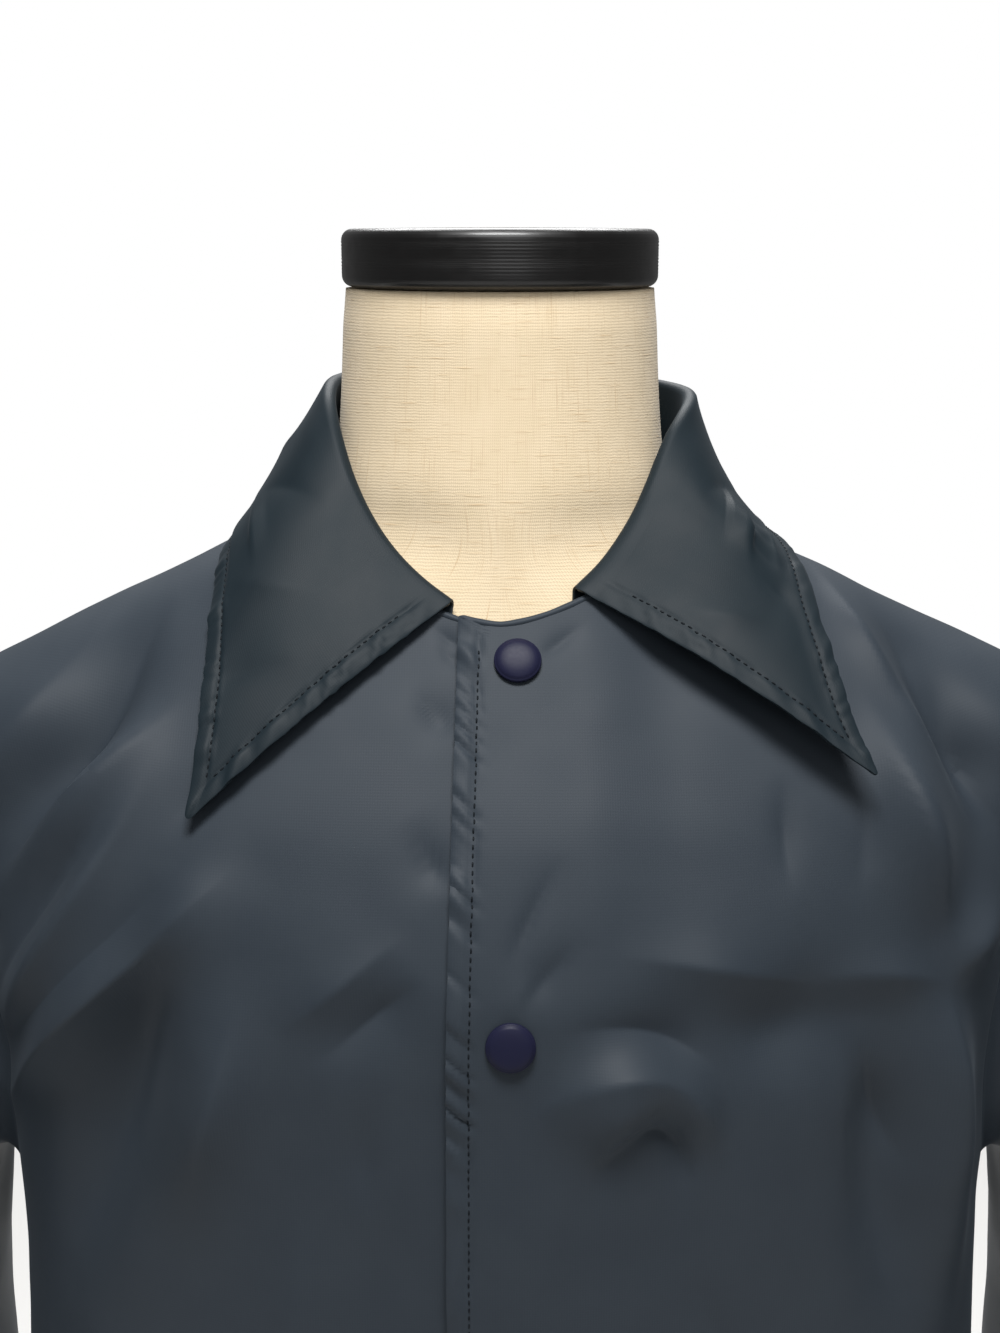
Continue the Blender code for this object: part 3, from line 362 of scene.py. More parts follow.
# Folds and creases of the body, each a line on the cloth between two points: a way across from the
# closure and a height. It bows to one side, is a ridge outwards or a trough inwards by its depth, and is
# deepest at the share peak of its length. The large folds come first, then the creases between them.
Fold = namedtuple("Fold", "across height end_across end_height bow width depth peak")
BODY_FOLDS = (
    Fold(-0.122, 0.742, -0.190, 0.640, 0.000, 0.014, -0.010, 0.55),
    Fold(-0.108, 0.712, -0.195, 0.640, 0.000, 0.013, 0.008, 0.50),
    Fold(-0.125, 0.676, -0.200, 0.590, 0.000, 0.013, 0.007, 0.50),
    Fold(-0.078, 0.672, -0.190, 0.580, 0.000, 0.014, 0.009, 0.40),
    Fold(-0.104, 0.652, -0.162, 0.500, 0.000, 0.015, -0.011, 0.50),
    Fold(-0.080, 0.638, -0.110, 0.530, 0.000, 0.013, 0.006, 0.50),
    Fold(0.134, 0.742, 0.192, 0.652, 0.000, 0.014, -0.010, 0.55),
    Fold(0.128, 0.718, 0.150, 0.636, 0.000, 0.013, 0.008, 0.50),
    Fold(0.190, 0.656, 0.148, 0.620, 0.000, 0.013, 0.006, 0.60),
    Fold(0.149, 0.644, 0.168, 0.460, 0.000, 0.014, 0.010, 0.45),
    Fold(0.034, 0.620, 0.152, 0.613, 0.000, 0.017, -0.009, 0.50),
    Fold(0.008, 0.596, 0.074, 0.588, 0.000, 0.014, 0.008, 0.60),
    Fold(0.114, 0.612, 0.150, 0.490, 0.000, 0.014, -0.008, 0.50),
    Fold(-0.195, 0.520, -0.180, 0.080, 0.000, 0.022, 0.014, 1.00),
    Fold(-0.135, 0.500, -0.130, 0.080, 0.000, 0.018, -0.012, 1.00),
    Fold(-0.085, 0.450, -0.075, 0.080, 0.000, 0.016, 0.011, 1.00),
    Fold(0.205, 0.520, 0.185, 0.080, 0.000, 0.022, 0.013, 1.00),
    Fold(0.145, 0.450, 0.135, 0.080, 0.000, 0.018, -0.012, 1.00),
    Fold(0.092, 0.420, 0.082, 0.080, 0.000, 0.016, 0.011, 1.00),
    Fold(0.255, 0.665, 0.330, 0.560, 0.000, 0.015, -0.010, 0.45),
    Fold(-0.255, 0.670, -0.335, 0.555, 0.000, 0.015, -0.010, 0.45),
    Fold(0.245, 0.620, 0.325, 0.500, 0.000, 0.014, 0.009, 0.45),
    Fold(-0.250, 0.615, -0.330, 0.490, 0.000, 0.014, 0.009, 0.45),
    Fold(0.262, 0.540, 0.275, 0.080, 0.000, 0.022, 0.014, 1.00),
    Fold(-0.268, 0.530, -0.280, 0.080, 0.000, 0.024, 0.015, 1.00),
    Fold(0.345, 0.480, 0.340, 0.080, 0.000, 0.020, -0.012, 1.00),
    Fold(-0.350, 0.500, -0.355, 0.080, 0.000, 0.018, -0.011, 1.00),
    Fold(0.425, 0.520, 0.415, 0.080, 0.000, 0.020, 0.011, 1.00),
    Fold(0.022, 0.673, 0.002, 0.634, 0.002, 0.0032, -0.0019, 0.60),
    Fold(0.030, 0.650, 0.005, 0.624, 0.001, 0.0055, -0.0024, 0.60),
    Fold(0.012, 0.640, 0.001, 0.622, 0.000, 0.0030, 0.0008, 0.50),
    Fold(0.012, 0.728, 0.030, 0.742, 0.000, 0.0028, -0.0013, 0.40),
    Fold(-0.104, 0.720, -0.198, 0.636, 0.000, 0.0075, 0.0095, 0.40),
    Fold(-0.117, 0.750, -0.192, 0.640, -0.007, 0.0085, -0.0115, 0.45),
    Fold(-0.136, 0.752, -0.208, 0.662, -0.004, 0.0120, 0.0045, 0.45),
    Fold(-0.116, 0.702, -0.190, 0.600, 0.000, 0.0080, -0.0065, 0.50),
    Fold(-0.110, 0.706, -0.192, 0.590, -0.007, 0.0085, 0.0095, 0.45),
    Fold(-0.092, 0.680, -0.196, 0.580, -0.002, 0.0085, -0.0040, 0.45),
    Fold(-0.081, 0.671, -0.215, 0.545, 0.000, 0.0085, 0.0085, 0.38),
    Fold(-0.105, 0.664, -0.136, 0.560, 0.004, 0.0130, -0.0090, 0.30),
    Fold(-0.085, 0.630, -0.104, 0.555, -0.003, 0.0075, 0.0040, 0.50),
    Fold(0.120, 0.760, 0.139, 0.715, 0.003, 0.0065, 0.0035, 0.50),
    Fold(0.132, 0.748, 0.184, 0.662, -0.001, 0.0090, -0.0095, 0.50),
    Fold(0.122, 0.724, 0.156, 0.624, -0.001, 0.0080, 0.0065, 0.50),
    Fold(0.114, 0.754, 0.170, 0.666, 0.000, 0.0075, 0.0060, 0.50),
    Fold(0.034, 0.642, 0.112, 0.628, -0.001, 0.0110, 0.0060, 0.45),
    Fold(0.016, 0.618, 0.076, 0.597, -0.010, 0.0080, -0.0050, 0.50),
    Fold(0.050, 0.616, 0.100, 0.619, -0.002, 0.0150, 0.0020, 0.40),
    Fold(0.098, 0.630, 0.158, 0.622, -0.004, 0.0090, 0.0050, 0.55),
    Fold(0.004, 0.588, 0.076, 0.560, -0.032, 0.0100, 0.0080, 0.45),
    Fold(0.024, 0.566, 0.064, 0.556, -0.026, 0.0100, -0.0100, 0.50),
    Fold(0.152, 0.634, 0.163, 0.540, 0.002, 0.0085, 0.0065, 0.40),
    Fold(0.120, 0.612, 0.147, 0.552, 0.002, 0.0090, -0.0060, 0.50),
    Fold(0.180, 0.650, 0.150, 0.622, 0.002, 0.0065, 0.0040, 0.50),
    Fold(-0.040, 0.606, -0.043, 0.555, 0.002, 0.0045, -0.0022, 0.60),
    Fold(-0.028, 0.650, -0.072, 0.615, 0.000, 0.0080, 0.0042, 0.50),
    Fold(-0.024, 0.636, -0.062, 0.604, 0.000, 0.0100, -0.0055, 0.40),
    Fold(-0.085, 0.700, -0.112, 0.672, 0.002, 0.0050, -0.0020, 0.40),
    Fold(-0.030, 0.722, -0.013, 0.706, 0.001, 0.0055, -0.0020, 0.60),
    Fold(-0.030, 0.684, -0.014, 0.660, 0.002, 0.0060, -0.0026, 0.60),
    Fold(-0.024, 0.742, -0.010, 0.733, 0.001, 0.0028, -0.0014, 0.60),
    Fold(-0.022, 0.736, -0.010, 0.727, 0.001, 0.0028, -0.0012, 0.60),
    Fold(-0.060, 0.560, -0.070, 0.440, 0.004, 0.0080, 0.0030, 0.40),
    Fold(0.128, 0.695, 0.118, 0.650, 0.002, 0.0050, -0.0016, 0.50),
    Fold(0.170, 0.700, 0.196, 0.664, 0.003, 0.0050, 0.0022, 0.50),
    Fold(0.094, 0.696, 0.095, 0.656, 0.001, 0.0045, -0.0022, 0.50),
    Fold(0.114, 0.608, 0.124, 0.540, 0.002, 0.0060, 0.0022, 0.40),
    Fold(0.060, 0.540, 0.090, 0.430, -0.005, 0.0080, -0.0030, 0.40),
    Fold(-0.110, 0.420, -0.105, 0.200, 0.004, 0.0080, -0.0030, 0.50),
    Fold(0.112, 0.380, 0.106, 0.160, -0.004, 0.0080, 0.0030, 0.50),
    Fold(0.240, 0.690, 0.282, 0.640, 0.004, 0.0060, 0.0030, 0.45),
    Fold(-0.242, 0.690, -0.290, 0.625, -0.004, 0.0060, 0.0030, 0.45),
    Fold(0.330, 0.740, 0.352, 0.660, 0.003, 0.0070, -0.0022, 0.40),
    Fold(-0.322, 0.735, -0.360, 0.650, -0.003, 0.0070, -0.0022, 0.40),
    Fold(0.380, 0.600, 0.392, 0.380, 0.006, 0.0090, -0.0034, 0.50),
    Fold(-0.392, 0.580, -0.400, 0.300, -0.005, 0.0090, 0.0030, 0.50),
    Fold(0.300, 0.400, 0.308, 0.180, 0.004, 0.0080, 0.0026, 0.50),
    Fold(-0.310, 0.420, -0.318, 0.160, 0.004, 0.0080, -0.0030, 0.50),
    Fold(0.262, 0.700, 0.360, 0.652, -0.006, 0.0075, -0.0042, 0.45),
    Fold(-0.266, 0.694, -0.372, 0.640, 0.006, 0.0080, -0.0046, 0.45),
    Fold(0.280, 0.648, 0.400, 0.600, 0.008, 0.0085, 0.0042, 0.40),
    Fold(-0.284, 0.640, -0.390, 0.586, -0.008, 0.0080, 0.0044, 0.45),
    Fold(0.270, 0.575, 0.372, 0.500, 0.006, 0.0090, -0.0050, 0.40),
    Fold(-0.276, 0.560, -0.366, 0.478, -0.006, 0.0085, -0.0046, 0.40),
    Fold(0.440, 0.430, 0.446, 0.190, 0.006, 0.0095, 0.0042, 0.50),
    Fold(-0.436, 0.470, -0.430, 0.230, 0.006, 0.0090, -0.0044, 0.50),
    Fold(0.400, 0.700, 0.440, 0.560, 0.006, 0.0090, -0.0032, 0.50),
    Fold(-0.410, 0.690, -0.446, 0.530, -0.006, 0.0085, 0.0030, 0.45),
)


def body_half_width(height):
    """Half the width of the level slice at a height: the lesser of the body's and the shoulder line's,
    rounded where the two meet."""
    shoulder = NECK_POINT_X + (NECK_POINT_HEIGHT - height) / SHOULDER_SLOPE
    body = along(BODY_SLICES, "height", "half_width", height)
    return -SHOULDER_ROUNDING * np.logaddexp(-body / SHOULDER_ROUNDING, -shoulder / SHOULDER_ROUNDING)


def body_point(turn, height):
    """Points of the body's middle surface, with no folds."""
    turn, height = np.broadcast_arrays(np.asarray(turn, float), np.asarray(height, float))
    ahead = np.cos(np.radians(turn))
    front = along(BODY_SLICES, "height", "front", height)
    back = along(BODY_SLICES, "height", "back", height)
    x = body_half_width(height) * signed_power(np.sin(np.radians(turn)), ROUNDNESS)
    y = -np.where(ahead > 0, front, back) * signed_power(ahead, ROUNDNESS)
    return np.stack([x, y, height], axis=-1)


def unit(vectors):
    """Vectors scaled to a length of one."""
    return vectors / np.maximum(np.linalg.norm(vectors, axis=-1, keepdims=True), 1e-12)


def body_normal(turn, height):
    """The outward direction of the body's surface at points."""
    turn, height = np.broadcast_arrays(np.asarray(turn, float), np.asarray(height, float))
    turn_step, height_step = 0.5, 0.004
    across = body_point(turn + turn_step, height) - body_point(turn - turn_step, height)
    upward = body_point(turn, height + height_step) - body_point(turn, height - height_step)
    return unit(np.cross(across, upward))


def turn_at(x, height):
    """The turn, on the front, of the point at a distance X from the middle."""
    share = signed_power(x / body_half_width(np.asarray(height, float)), 1 / ROUNDNESS)
    return np.degrees(np.arcsin(np.clip(share, -1.0, 1.0)))


def across_at(turn, height):
    """How far round the body points lie from the closure, by straight steps through the side seam, and
    half the way round at their height."""
    turn = (turn + 180) % 360 - 180
    point = body_point(turn, height)
    side = body_half_width(height)
    front = along(BODY_SLICES, "height", "front", height)
    back = along(BODY_SLICES, "height", "back", height)
    half_way = np.hypot(side, front) + np.hypot(side, back)
    near = np.hypot(point[..., 0], front + point[..., 1])
    far = half_way - np.hypot(point[..., 0], back - point[..., 1])
    return np.where(turn < 0, -1, 1) * np.where(np.abs(turn) <= 90, near, far), half_way


def folded_out(across, down, half_way, folds):
    """How far a table of folds moves cloth outwards, at places across and down it. Narrow folds come to a
    sharper line."""
    total = np.zeros(np.shape(across))
    for across_0, down_0, across_1, down_1, bow, width, depth, peak in folds:
        away = (across - across_0 + half_way) % (2 * half_way) - half_way
        line_away, line_down = across_1 - across_0, down_1 - down_0
        length = math.hypot(line_away, line_down)
        share = (away * line_away + (down - down_0) * line_down) / length ** 2
        aside = (away * line_down - (down - down_0) * line_away) / length
        aside = aside - bow * 4 * np.clip(share, 0, 1) * (1 - np.clip(share, 0, 1))
        fall = 1.0 if peak >= 1 else smooth_step((1 - share) / (1 - peak))
        rise = np.where(share < peak, smooth_step(share / peak), fall)
        sharpness = 1.2 if width < NARROW_FOLD else 2.0
        total = total + depth * rise * np.exp(-(np.abs(aside / width) ** sharpness))
    return total


def swell(points, cell, seed):
    """Smooth random swells from -1 to 1 through space, about a cell apart."""
    size = 32
    lattice = np.random.default_rng(seed).uniform(-1, 1, (size, size, size))
    scaled = points / cell
    low = np.floor(scaled).astype(int)
    share = smooth_step(scaled - low)
    total = 0.0
    for i, j, k in np.ndindex(2, 2, 2):
        picked = lattice[tuple((low[..., n] + o) % size for n, o in enumerate((i, j, k)))]
        weight = 1.0
        for n, o in enumerate((i, j, k)):
            weight = weight * (share[..., n] if o else 1 - share[..., n])
        total = total + picked * weight
    return total


def clear_of_form(points):
    """Points of cloth, moved level out from the dress form where they come too near to it."""
    size = {c: along(FORM_SLICES, "height", c, points[..., 2]) for c in FormSlice._fields}
    depth = np.where(points[..., 1] < 0, size["front"], size["back"])
    power = 2 / size["roundness"]
    x_share, y_share = np.abs(points[..., 0]) / size["half_width"], np.abs(points[..., 1]) / depth
    x_slope = power * x_share ** (power - 1) / size["half_width"]
    y_slope = power * y_share ** (power - 1) / depth
    steep = np.maximum(np.hypot(x_slope, y_slope), 1e-9)
    room = (x_share ** power + y_share ** power - 1) / steep
    short = FORM_EASE * np.logaddexp(0.0, (FORM_ROOM - room) / FORM_EASE)
    way = np.stack([np.sign(points[..., 0]) * x_slope, np.sign(points[..., 1]) * y_slope, 0 * steep], axis=-1)
    return points + way * (short / steep)[..., None]


def cloth_point(turn, height, lift=0.0):
    """Points of the folded cloth, moved out by a lift."""
    across, half_way = across_at(turn, height)
    smooth = body_point(turn, height)
    out = folded_out(across, height, half_way, BODY_FOLDS)
    out = out + SWELL_HEIGHT * swell(smooth, SWELL_LENGTH, 3)
    out = out + SMALL_SWELL_HEIGHT * swell(smooth, SMALL_SWELL_LENGTH, 4)
    return clear_of_form(smooth + body_normal(turn, height) * np.asarray(out + lift)[..., None])


def neckline(share):
    """The neck edge on the wearer's left: 0 at the closure's middle, 1 at the shoulder, 2 at the back."""
    share = np.asarray(share, float)
    x = NECK_POINT_X * np.sin(np.radians(90 * share))
    front_height = FRONT_NECK_HEIGHT + FRONT_NECK_DROP * np.abs(x / NECK_POINT_X) ** FRONT_NECK_POWER
    across = np.cos(np.radians(90 * (share - 1)))
    back_height = NECK_POINT_HEIGHT + BACK_NECK_RISE * (1 - across * across)
    on_front = share <= 1
    turn = np.where(on_front, turn_at(x, front_height), 180 - turn_at(NECK_POINT_X * across, back_height))
    return turn, np.where(on_front, front_height, back_height)


def armhole(share, scoop):
    """The armhole's edge from the underarm, 0, to the shoulder point, 1, a scoop before the side."""
    rise = (1 - np.cos(np.pi * share)) / 2
    height = UNDERARM_HEIGHT + (SHOULDER_POINT_HEIGHT - UNDERARM_HEIGHT) * rise
    return 90 - scoop * np.sin(np.pi * share), height


def outer_edge(row, scoop):
    """The side seam from the hem to the underarm, and then the armhole."""
    turn, height = armhole(np.clip((row - UNDERARM_ROW) / (SHOULDER_ROW - UNDERARM_ROW), 0, 1), scoop)
    seam = HEM_HEIGHT + (UNDERARM_HEIGHT - HEM_HEIGHT) * row / UNDERARM_ROW
    return np.where(row <= UNDERARM_ROW, 90.0, turn), np.where(row <= UNDERARM_ROW, seam, height)


def middle_height(row, neck_height):
    """The height of a row in the middle of the front or of the back, up to the neck edge."""
    lower = HEM_HEIGHT + (CHEST_HEIGHT - HEM_HEIGHT) * row / UNDERARM_ROW
    share = np.clip((row - UNDERARM_ROW) / (NECK_ROW - UNDERARM_ROW), 0, 1)
    return np.where(row <= UNDERARM_ROW, lower, CHEST_HEIGHT + (neck_height - CHEST_HEIGHT) * share)


def closure_x(height):
    """The line of the snaps, which leans a little to the wearer's left towards the neck."""
    return CLOSURE_X + CLOSURE_LEAN * np.maximum(0.0, height - CLOSURE_LEAN_FROM)


def front_corner(side):
    """The share of the neck edge at which a front's own edge meets it."""
    return math.degrees(math.asin((side * closure_x(FRONT_NECK_HEIGHT) - OVERLAP) / NECK_POINT_X)) / 90


def front_edge(row, side):
    """The edge of a front past the snaps, and then the neck edge to the shoulder."""
    first = front_corner(side)
    height = middle_height(row, neckline(first)[1])
    up = np.clip((row - NECK_ROW) / (SHOULDER_ROW - NECK_ROW), 0, 1)
    neck_turn, neck_height = neckline(first + (1 - first) * up)
    edge_turn = turn_at(side * closure_x(height) - OVERLAP, height)
    on_edge = row <= NECK_ROW
    return np.where(on_edge, edge_turn, neck_turn), np.where(on_edge, height, neck_height)


def lap_lift(x):
    """How far the upper front is raised over the lower one."""
    return LAP_LIFT * smooth_step((LAP_RAMP_START - x) / (LAP_RAMP_START - LAP_RAMP_END))


def sewn_edge(inset, place, seed, stitch=STITCH_INSET):
    """How far a folded, stitched edge stands out of the cloth at an inset from it: the doubled band is
    full, the thread pulls a groove, and both pucker unevenly along the way, place."""
    band = EDGE_FULLNESS * np.sin(np.pi * np.clip(inset / stitch, 0, 1)) ** 0.7
    groove = -GROOVE_DEPTH * np.exp(-(((inset - stitch) / GROOVE_WIDTH) ** 2))
    slanted = np.stack([place + PUCKER_SLANT * inset, 0 * inset, 0 * inset], axis=-1)
    pucker = PUCKER_HEIGHT * (np.abs(swell(slanted, PUCKER_LENGTH, seed)) - 0.3)
    pucker = pucker + EDGE_SWAY * swell(slanted, EDGE_SWAY_LENGTH, seed + 1)
    return band + groove + pucker * (1 - smooth_step((inset / stitch - 0.7) / 0.8))


def nylon_taffeta(name, dark, light):
    """Taffeta of filament nylon, woven tight and calendered, so that it is smooth with a soft broad gloss.
    Its threads, about a quarter of a millimetre, are drawn three times as wide to show."""
    made, tree, shader = new_material(name)
    place = add_node(tree, "ShaderNodeUVMap", uv_map="cut").outputs["UV"]
    thread = {"Vector": place, "Scale": WAVE_LENGTH_AT_SCALE_1 / 0.00085, "Distortion": 0.6, "Detail": 1.0}
    warp = add_node(tree, "ShaderNodeTexWave", thread, bands_direction="X").outputs["Fac"]
    weft = add_node(tree, "ShaderNodeTexWave", thread, bands_direction="Y").outputs["Fac"]
    weave = add_node(tree, "ShaderNodeMath", {0: warp, 1: weft}, operation="ADD").outputs[0]
    cloud = add_node(tree, "ShaderNodeTexNoise", {"Vector": place, "Scale": 45.0, "Detail": 5.0})
    tint = add_node(tree, "ShaderNodeMix", {
        0: cloud.outputs["Fac"], 6: linear(dark), 7: linear(light)}, data_type="RGBA")
    gloss = add_node(tree, "ShaderNodeMapRange", {
        "Value": cloud.outputs["Fac"], "To Min": 0.50, "To Max": 0.62})
    relief = add_node(tree, "ShaderNodeBump", {"Strength": 0.05, "Distance": 0.0002, "Height": weave})
    tree.links.new(tint.outputs[2], shader.inputs["Base Color"])
    tree.links.new(gloss.outputs["Result"], shader.inputs["Roughness"])
    tree.links.new(relief.outputs["Normal"], shader.inputs["Normal"])
    shader.inputs["IOR"].default_value = 1.53
    shader.inputs["Specular IOR Level"].default_value = 0.15
    shader.inputs["Sheen Weight"].default_value = 0.06
    shader.inputs["Sheen Roughness"].default_value = 0.4
    shader.inputs["Sheen Tint"].default_value = linear("#aebac6")
    return made


def grid_normals(points):
    """The outward directions of a grid of points."""
    return unit(np.cross(np.gradient(points, axis=1), np.gradient(points, axis=0)))


def sew_in(cloth, nodes):
    """Gives a piece of cloth its thickness and its rounded, folded edges, and puts it on the form."""
    wall = cloth.modifiers.new("cloth", "SOLIDIFY")
    wall.thickness = CLOTH_THICKNESS
    wall.offset = 0.0
    edge = cloth.modifiers.new("folded edge", "BEVEL")
    edge.width = FOLDED_EDGE
    edge.segments = 2
    edge.limit_method = "ANGLE"
    edge.angle_limit = math.radians(60)
    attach(cloth, "root")
    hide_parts(*nodes)


def line_across(points, normals, field, value):
    """Where a field, which grows along each row of a grid, reaches a value: points and ways out."""
    found = []
    for row, outs, measure in zip(points, normals, field):
        i = int(np.argmax(measure >= value))
        if i > 0:
            s = (value - measure[i - 1]) / (measure[i] - measure[i - 1])
            found.append((row[i - 1] * (1 - s) + row[i] * s, outs[i - 1] * (1 - s) + outs[i] * s))
    return np.array(found).reshape(-1, 2, 3)


def hem_line(points, outs, up):
    """The row of stitches along a hem, at the hem's depth up a grid of points."""
    return line_across(*[grid.swapaxes(0, 1) for grid in (points, outs, up)], HEM_DEPTH)


def stitch_object(name, lines):
    """One mesh of separate stitches laid along lines of points and outward directions."""
    t = np.linspace(-1, 1, STITCH_RINGS)
    around = np.linspace(0, 2 * np.pi, STITCH_SIDES, endpoint=False)
    fat = np.sqrt(np.maximum(0.04, 1 - t ** 4))
    verts, faces = [], []
    for line in lines:
        path, outs = line[:, 0], line[:, 1]
        walked = np.concatenate([[0], np.cumsum(np.linalg.norm(np.diff(path, axis=0), axis=-1))])
        for middle in np.arange(STITCH_PITCH, walked[-1] - STITCH_PITCH, STITCH_PITCH):
            at = [np.interp(middle + d, walked, path[:, n]) for d in (-0.001, 0, 0.001) for n in range(3)]
            behind, centre, ahead = np.array(at).reshape(3, 3)
            out = unit(np.array([np.interp(middle, walked, outs[:, n]) for n in range(3)]))
            forth = unit(ahead - behind)
            aside = unit(np.cross(forth, out))
            sunk = CLOTH_THICKNESS / 2 + THREAD_RADIUS * (0.5 - 1.6 * t ** 2)
            spine = centre + forth * (t * STITCH_LENGTH / 2)[:, None] + out * sunk[:, None]
            ring = aside * np.cos(around)[:, None] + out * np.sin(around)[:, None]
            base = sum(len(v) for v in verts)
            verts.append((spine[:, None] + ring[None] * (fat * THREAD_RADIUS)[:, None, None]).reshape(-1, 3))
            for k in range(STITCH_RINGS - 1):
                for i in range(STITCH_SIDES):
                    j = (i + 1) % STITCH_SIDES
                    low, high = base + k * STITCH_SIDES, base + (k + 1) * STITCH_SIDES
                    faces.append((low + i, high + i, high + j, low + j))
            faces.append(tuple(base + i for i in range(STITCH_SIDES)))
            end = base + (STITCH_RINGS - 1) * STITCH_SIDES
            faces.append(tuple(end + i for i in reversed(range(STITCH_SIDES))))
    mesh = bpy.data.meshes.new(name)
    mesh.from_pydata(np.concatenate(verts).tolist(), [], faces)
    mesh.shade_smooth()
    made = bpy.data.objects.new(name, mesh)
    bpy.context.scene.collection.objects.link(made)
    made.data.materials.append(thread_material)
    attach(made, "root")
    return made


def rim_object(name, path, outs, radius, sides=14):
    """A rounded rim along a path, uneven as hand-guided sewing is."""
    forth = unit(np.gradient(path, axis=0))
    outs = unit(outs - forth * np.sum(outs * forth, axis=-1, keepdims=True))
    aside = np.cross(forth, outs)
    angle = np.linspace(0, 2 * np.pi, sides, endpoint=False)[None, :, None]
    ends = np.sqrt(np.clip(np.minimum(np.arange(len(path)), np.arange(len(path))[::-1]) / 3, 0.05, 1))
    fat = (radius * ends * (1 + 0.18 * swell(path, 0.006, 51)))[:, None, None]
    points = path[:, None] + (outs[:, None] * np.cos(angle) + aside[:, None] * np.sin(angle)) * fat
    length = np.concatenate([[0], np.cumsum(np.linalg.norm(np.diff(path, axis=0), axis=-1))])
    girth = np.linspace(0, 2 * np.pi * radius, sides + 1)
    cut = np.stack(np.broadcast_arrays(girth, length[:, None]), axis=-1)
    return grid_object(name, points, cut, around=True, capped=True)


# Spun polyester thread: matt and a shade darker than the cloth, with the twist of its plies
thread_material, tree, shader = new_material("polyester_thread")
place = add_node(tree, "ShaderNodeTexCoord").outputs["Object"]
plies = add_node(tree, "ShaderNodeTexWave", {
    "Vector": place, "Scale": WAVE_LENGTH_AT_SCALE_1 / 0.0006}, bands_direction="DIAGONAL")
relief = add_node(tree, "ShaderNodeBump", {
    "Strength": 0.4, "Distance": 0.0001, "Height": plies.outputs["Fac"]})
tree.links.new(relief.outputs["Normal"], shader.inputs["Normal"])
shader.inputs["Base Color"].default_value = linear(THREAD_NAVY)
shader.inputs["Roughness"].default_value = 0.6
shader.inputs["Specular IOR Level"].default_value = 0.15

nylon = nylon_taffeta("nylon_taffeta", NYLON_DARK, NYLON_LIGHT)
front_rows = np.concatenate([
    np.linspace(0, UNDERARM_ROW, 110, endpoint=False),
    np.linspace(UNDERARM_ROW, NECK_ROW, 140, endpoint=False),
    np.linspace(NECK_ROW, SHOULDER_ROW, 64),
])
front_shares = np.concatenate([
    np.linspace(0, 0.09, 20, endpoint=False),
    np.linspace(0.09, 0.40, 44, endpoint=False),
    np.linspace(0.40, 1, 60),
])
lap_rows = slice(4, int(np.argmax(front_rows >= NECK_ROW)) - 2)
for name, side in (("front_left", 1), ("front_right", -1)):
    inner_turn, inner_height = front_edge(front_rows, side)
    outer_turn, outer_height = outer_edge(front_rows, ARMHOLE_SCOOP_FRONT)
    turn = inner_turn[:, None] + (outer_turn - inner_turn)[:, None] * front_shares
    height = inner_height[:, None] + (outer_height - inner_height)[:, None] * front_shares
    x = body_point(turn, height)[..., 0]
    inset = x - (side * closure_x(height) - OVERLAP)
    detail = sewn_edge(inset, height, 11)
    hem = HEM_PUCKER * sewn_edge(height - HEM_HEIGHT, turn * HEM_PER_DEGREE, 21, HEM_DEPTH)
    points = cloth_point(side * turn, height, (lap_lift(x) if side > 0 else 0.0) + detail + hem)
    points[..., 1] -= SEAM_GAP / 2
    cut = np.stack([across_at(side * turn, height)[0], height], axis=-1)
    if side < 0:
        points, cut, height = points[:, ::-1], cut[:, ::-1], height[:, ::-1]
    front = grid_object(name + "_panel", points, cut)
    front.data.materials.append(nylon)
    sew_in(front, [name])
    outs = grid_normals(points)
    rows_of_stitches = [hem_line(points, outs, height - HEM_HEIGHT)]
    if side > 0:
        rows_of_stitches.append(line_across(points[lap_rows], outs[lap_rows], inset[lap_rows], STITCH_INSET))
    stitches = stitch_object(name + "_stitches", rows_of_stitches)
    rim_start = front_corner(side) if side > 0 else LOWER_RIM_START
    rim_turn, rim_height = neckline(np.linspace(rim_start, NECK_RIM_END, 90))
    rim_x = body_point(rim_turn, rim_height)[..., 0]
    rim_path = cloth_point(side * rim_turn, rim_height, lap_lift(rim_x) if side > 0 else 0.0)
    rim = rim_object(name + "_neck_rim", rim_path, body_normal(side * rim_turn, rim_height), NECK_RIM_RADIUS)
    rim.data.materials.append(nylon)
    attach(rim, "root")


# Back
# One panel of the same nylon from side seam to side seam, sewn to the fronts at the sides and at the
# shoulders. It hangs from the shoulders in long loose folds.
BACK_MEAN_RADIUS = 0.16

back_shares = np.linspace(0, 1, 100)
back_rows = np.concatenate([
    np.linspace(0, UNDERARM_ROW, 90, endpoint=False),
    np.linspace(UNDERARM_ROW, NECK_ROW, 50, endpoint=False),
    np.linspace(NECK_ROW, SHOULDER_ROW, 50),
])
up = np.clip((back_rows - NECK_ROW) / (SHOULDER_ROW - NECK_ROW), 0, 1)
neck_turn, neck_height = neckline(2 - up)
inner_turn = np.where(back_rows <= NECK_ROW, 180.0, neck_turn)
inner_height = np.where(back_rows <= NECK_ROW, middle_height(back_rows, neckline(2)[1]), neck_height)
outer_turn, outer_height = outer_edge(back_rows, ARMHOLE_SCOOP_BACK)
half_turn = 180 - outer_turn[:, None] + (inner_turn - 180 + outer_turn)[:, None] * back_shares
half_height = outer_height[:, None] + (inner_height - outer_height)[:, None] * back_shares
turn = np.concatenate([half_turn, 360 - half_turn[:, -2::-1]], axis=1)
height = np.concatenate([half_height, half_height[:, -2::-1]], axis=1)
hem = HEM_PUCKER * sewn_edge(height - HEM_HEIGHT, turn * HEM_PER_DEGREE, 21, HEM_DEPTH)
back_points = cloth_point(turn, height, hem)
back_points[..., 1] += SEAM_GAP / 2
back_cut = np.stack([np.radians(turn) * BACK_MEAN_RADIUS, height], axis=-1)
back = grid_object("back_panel", back_points, back_cut)
back.data.materials.append(nylon)
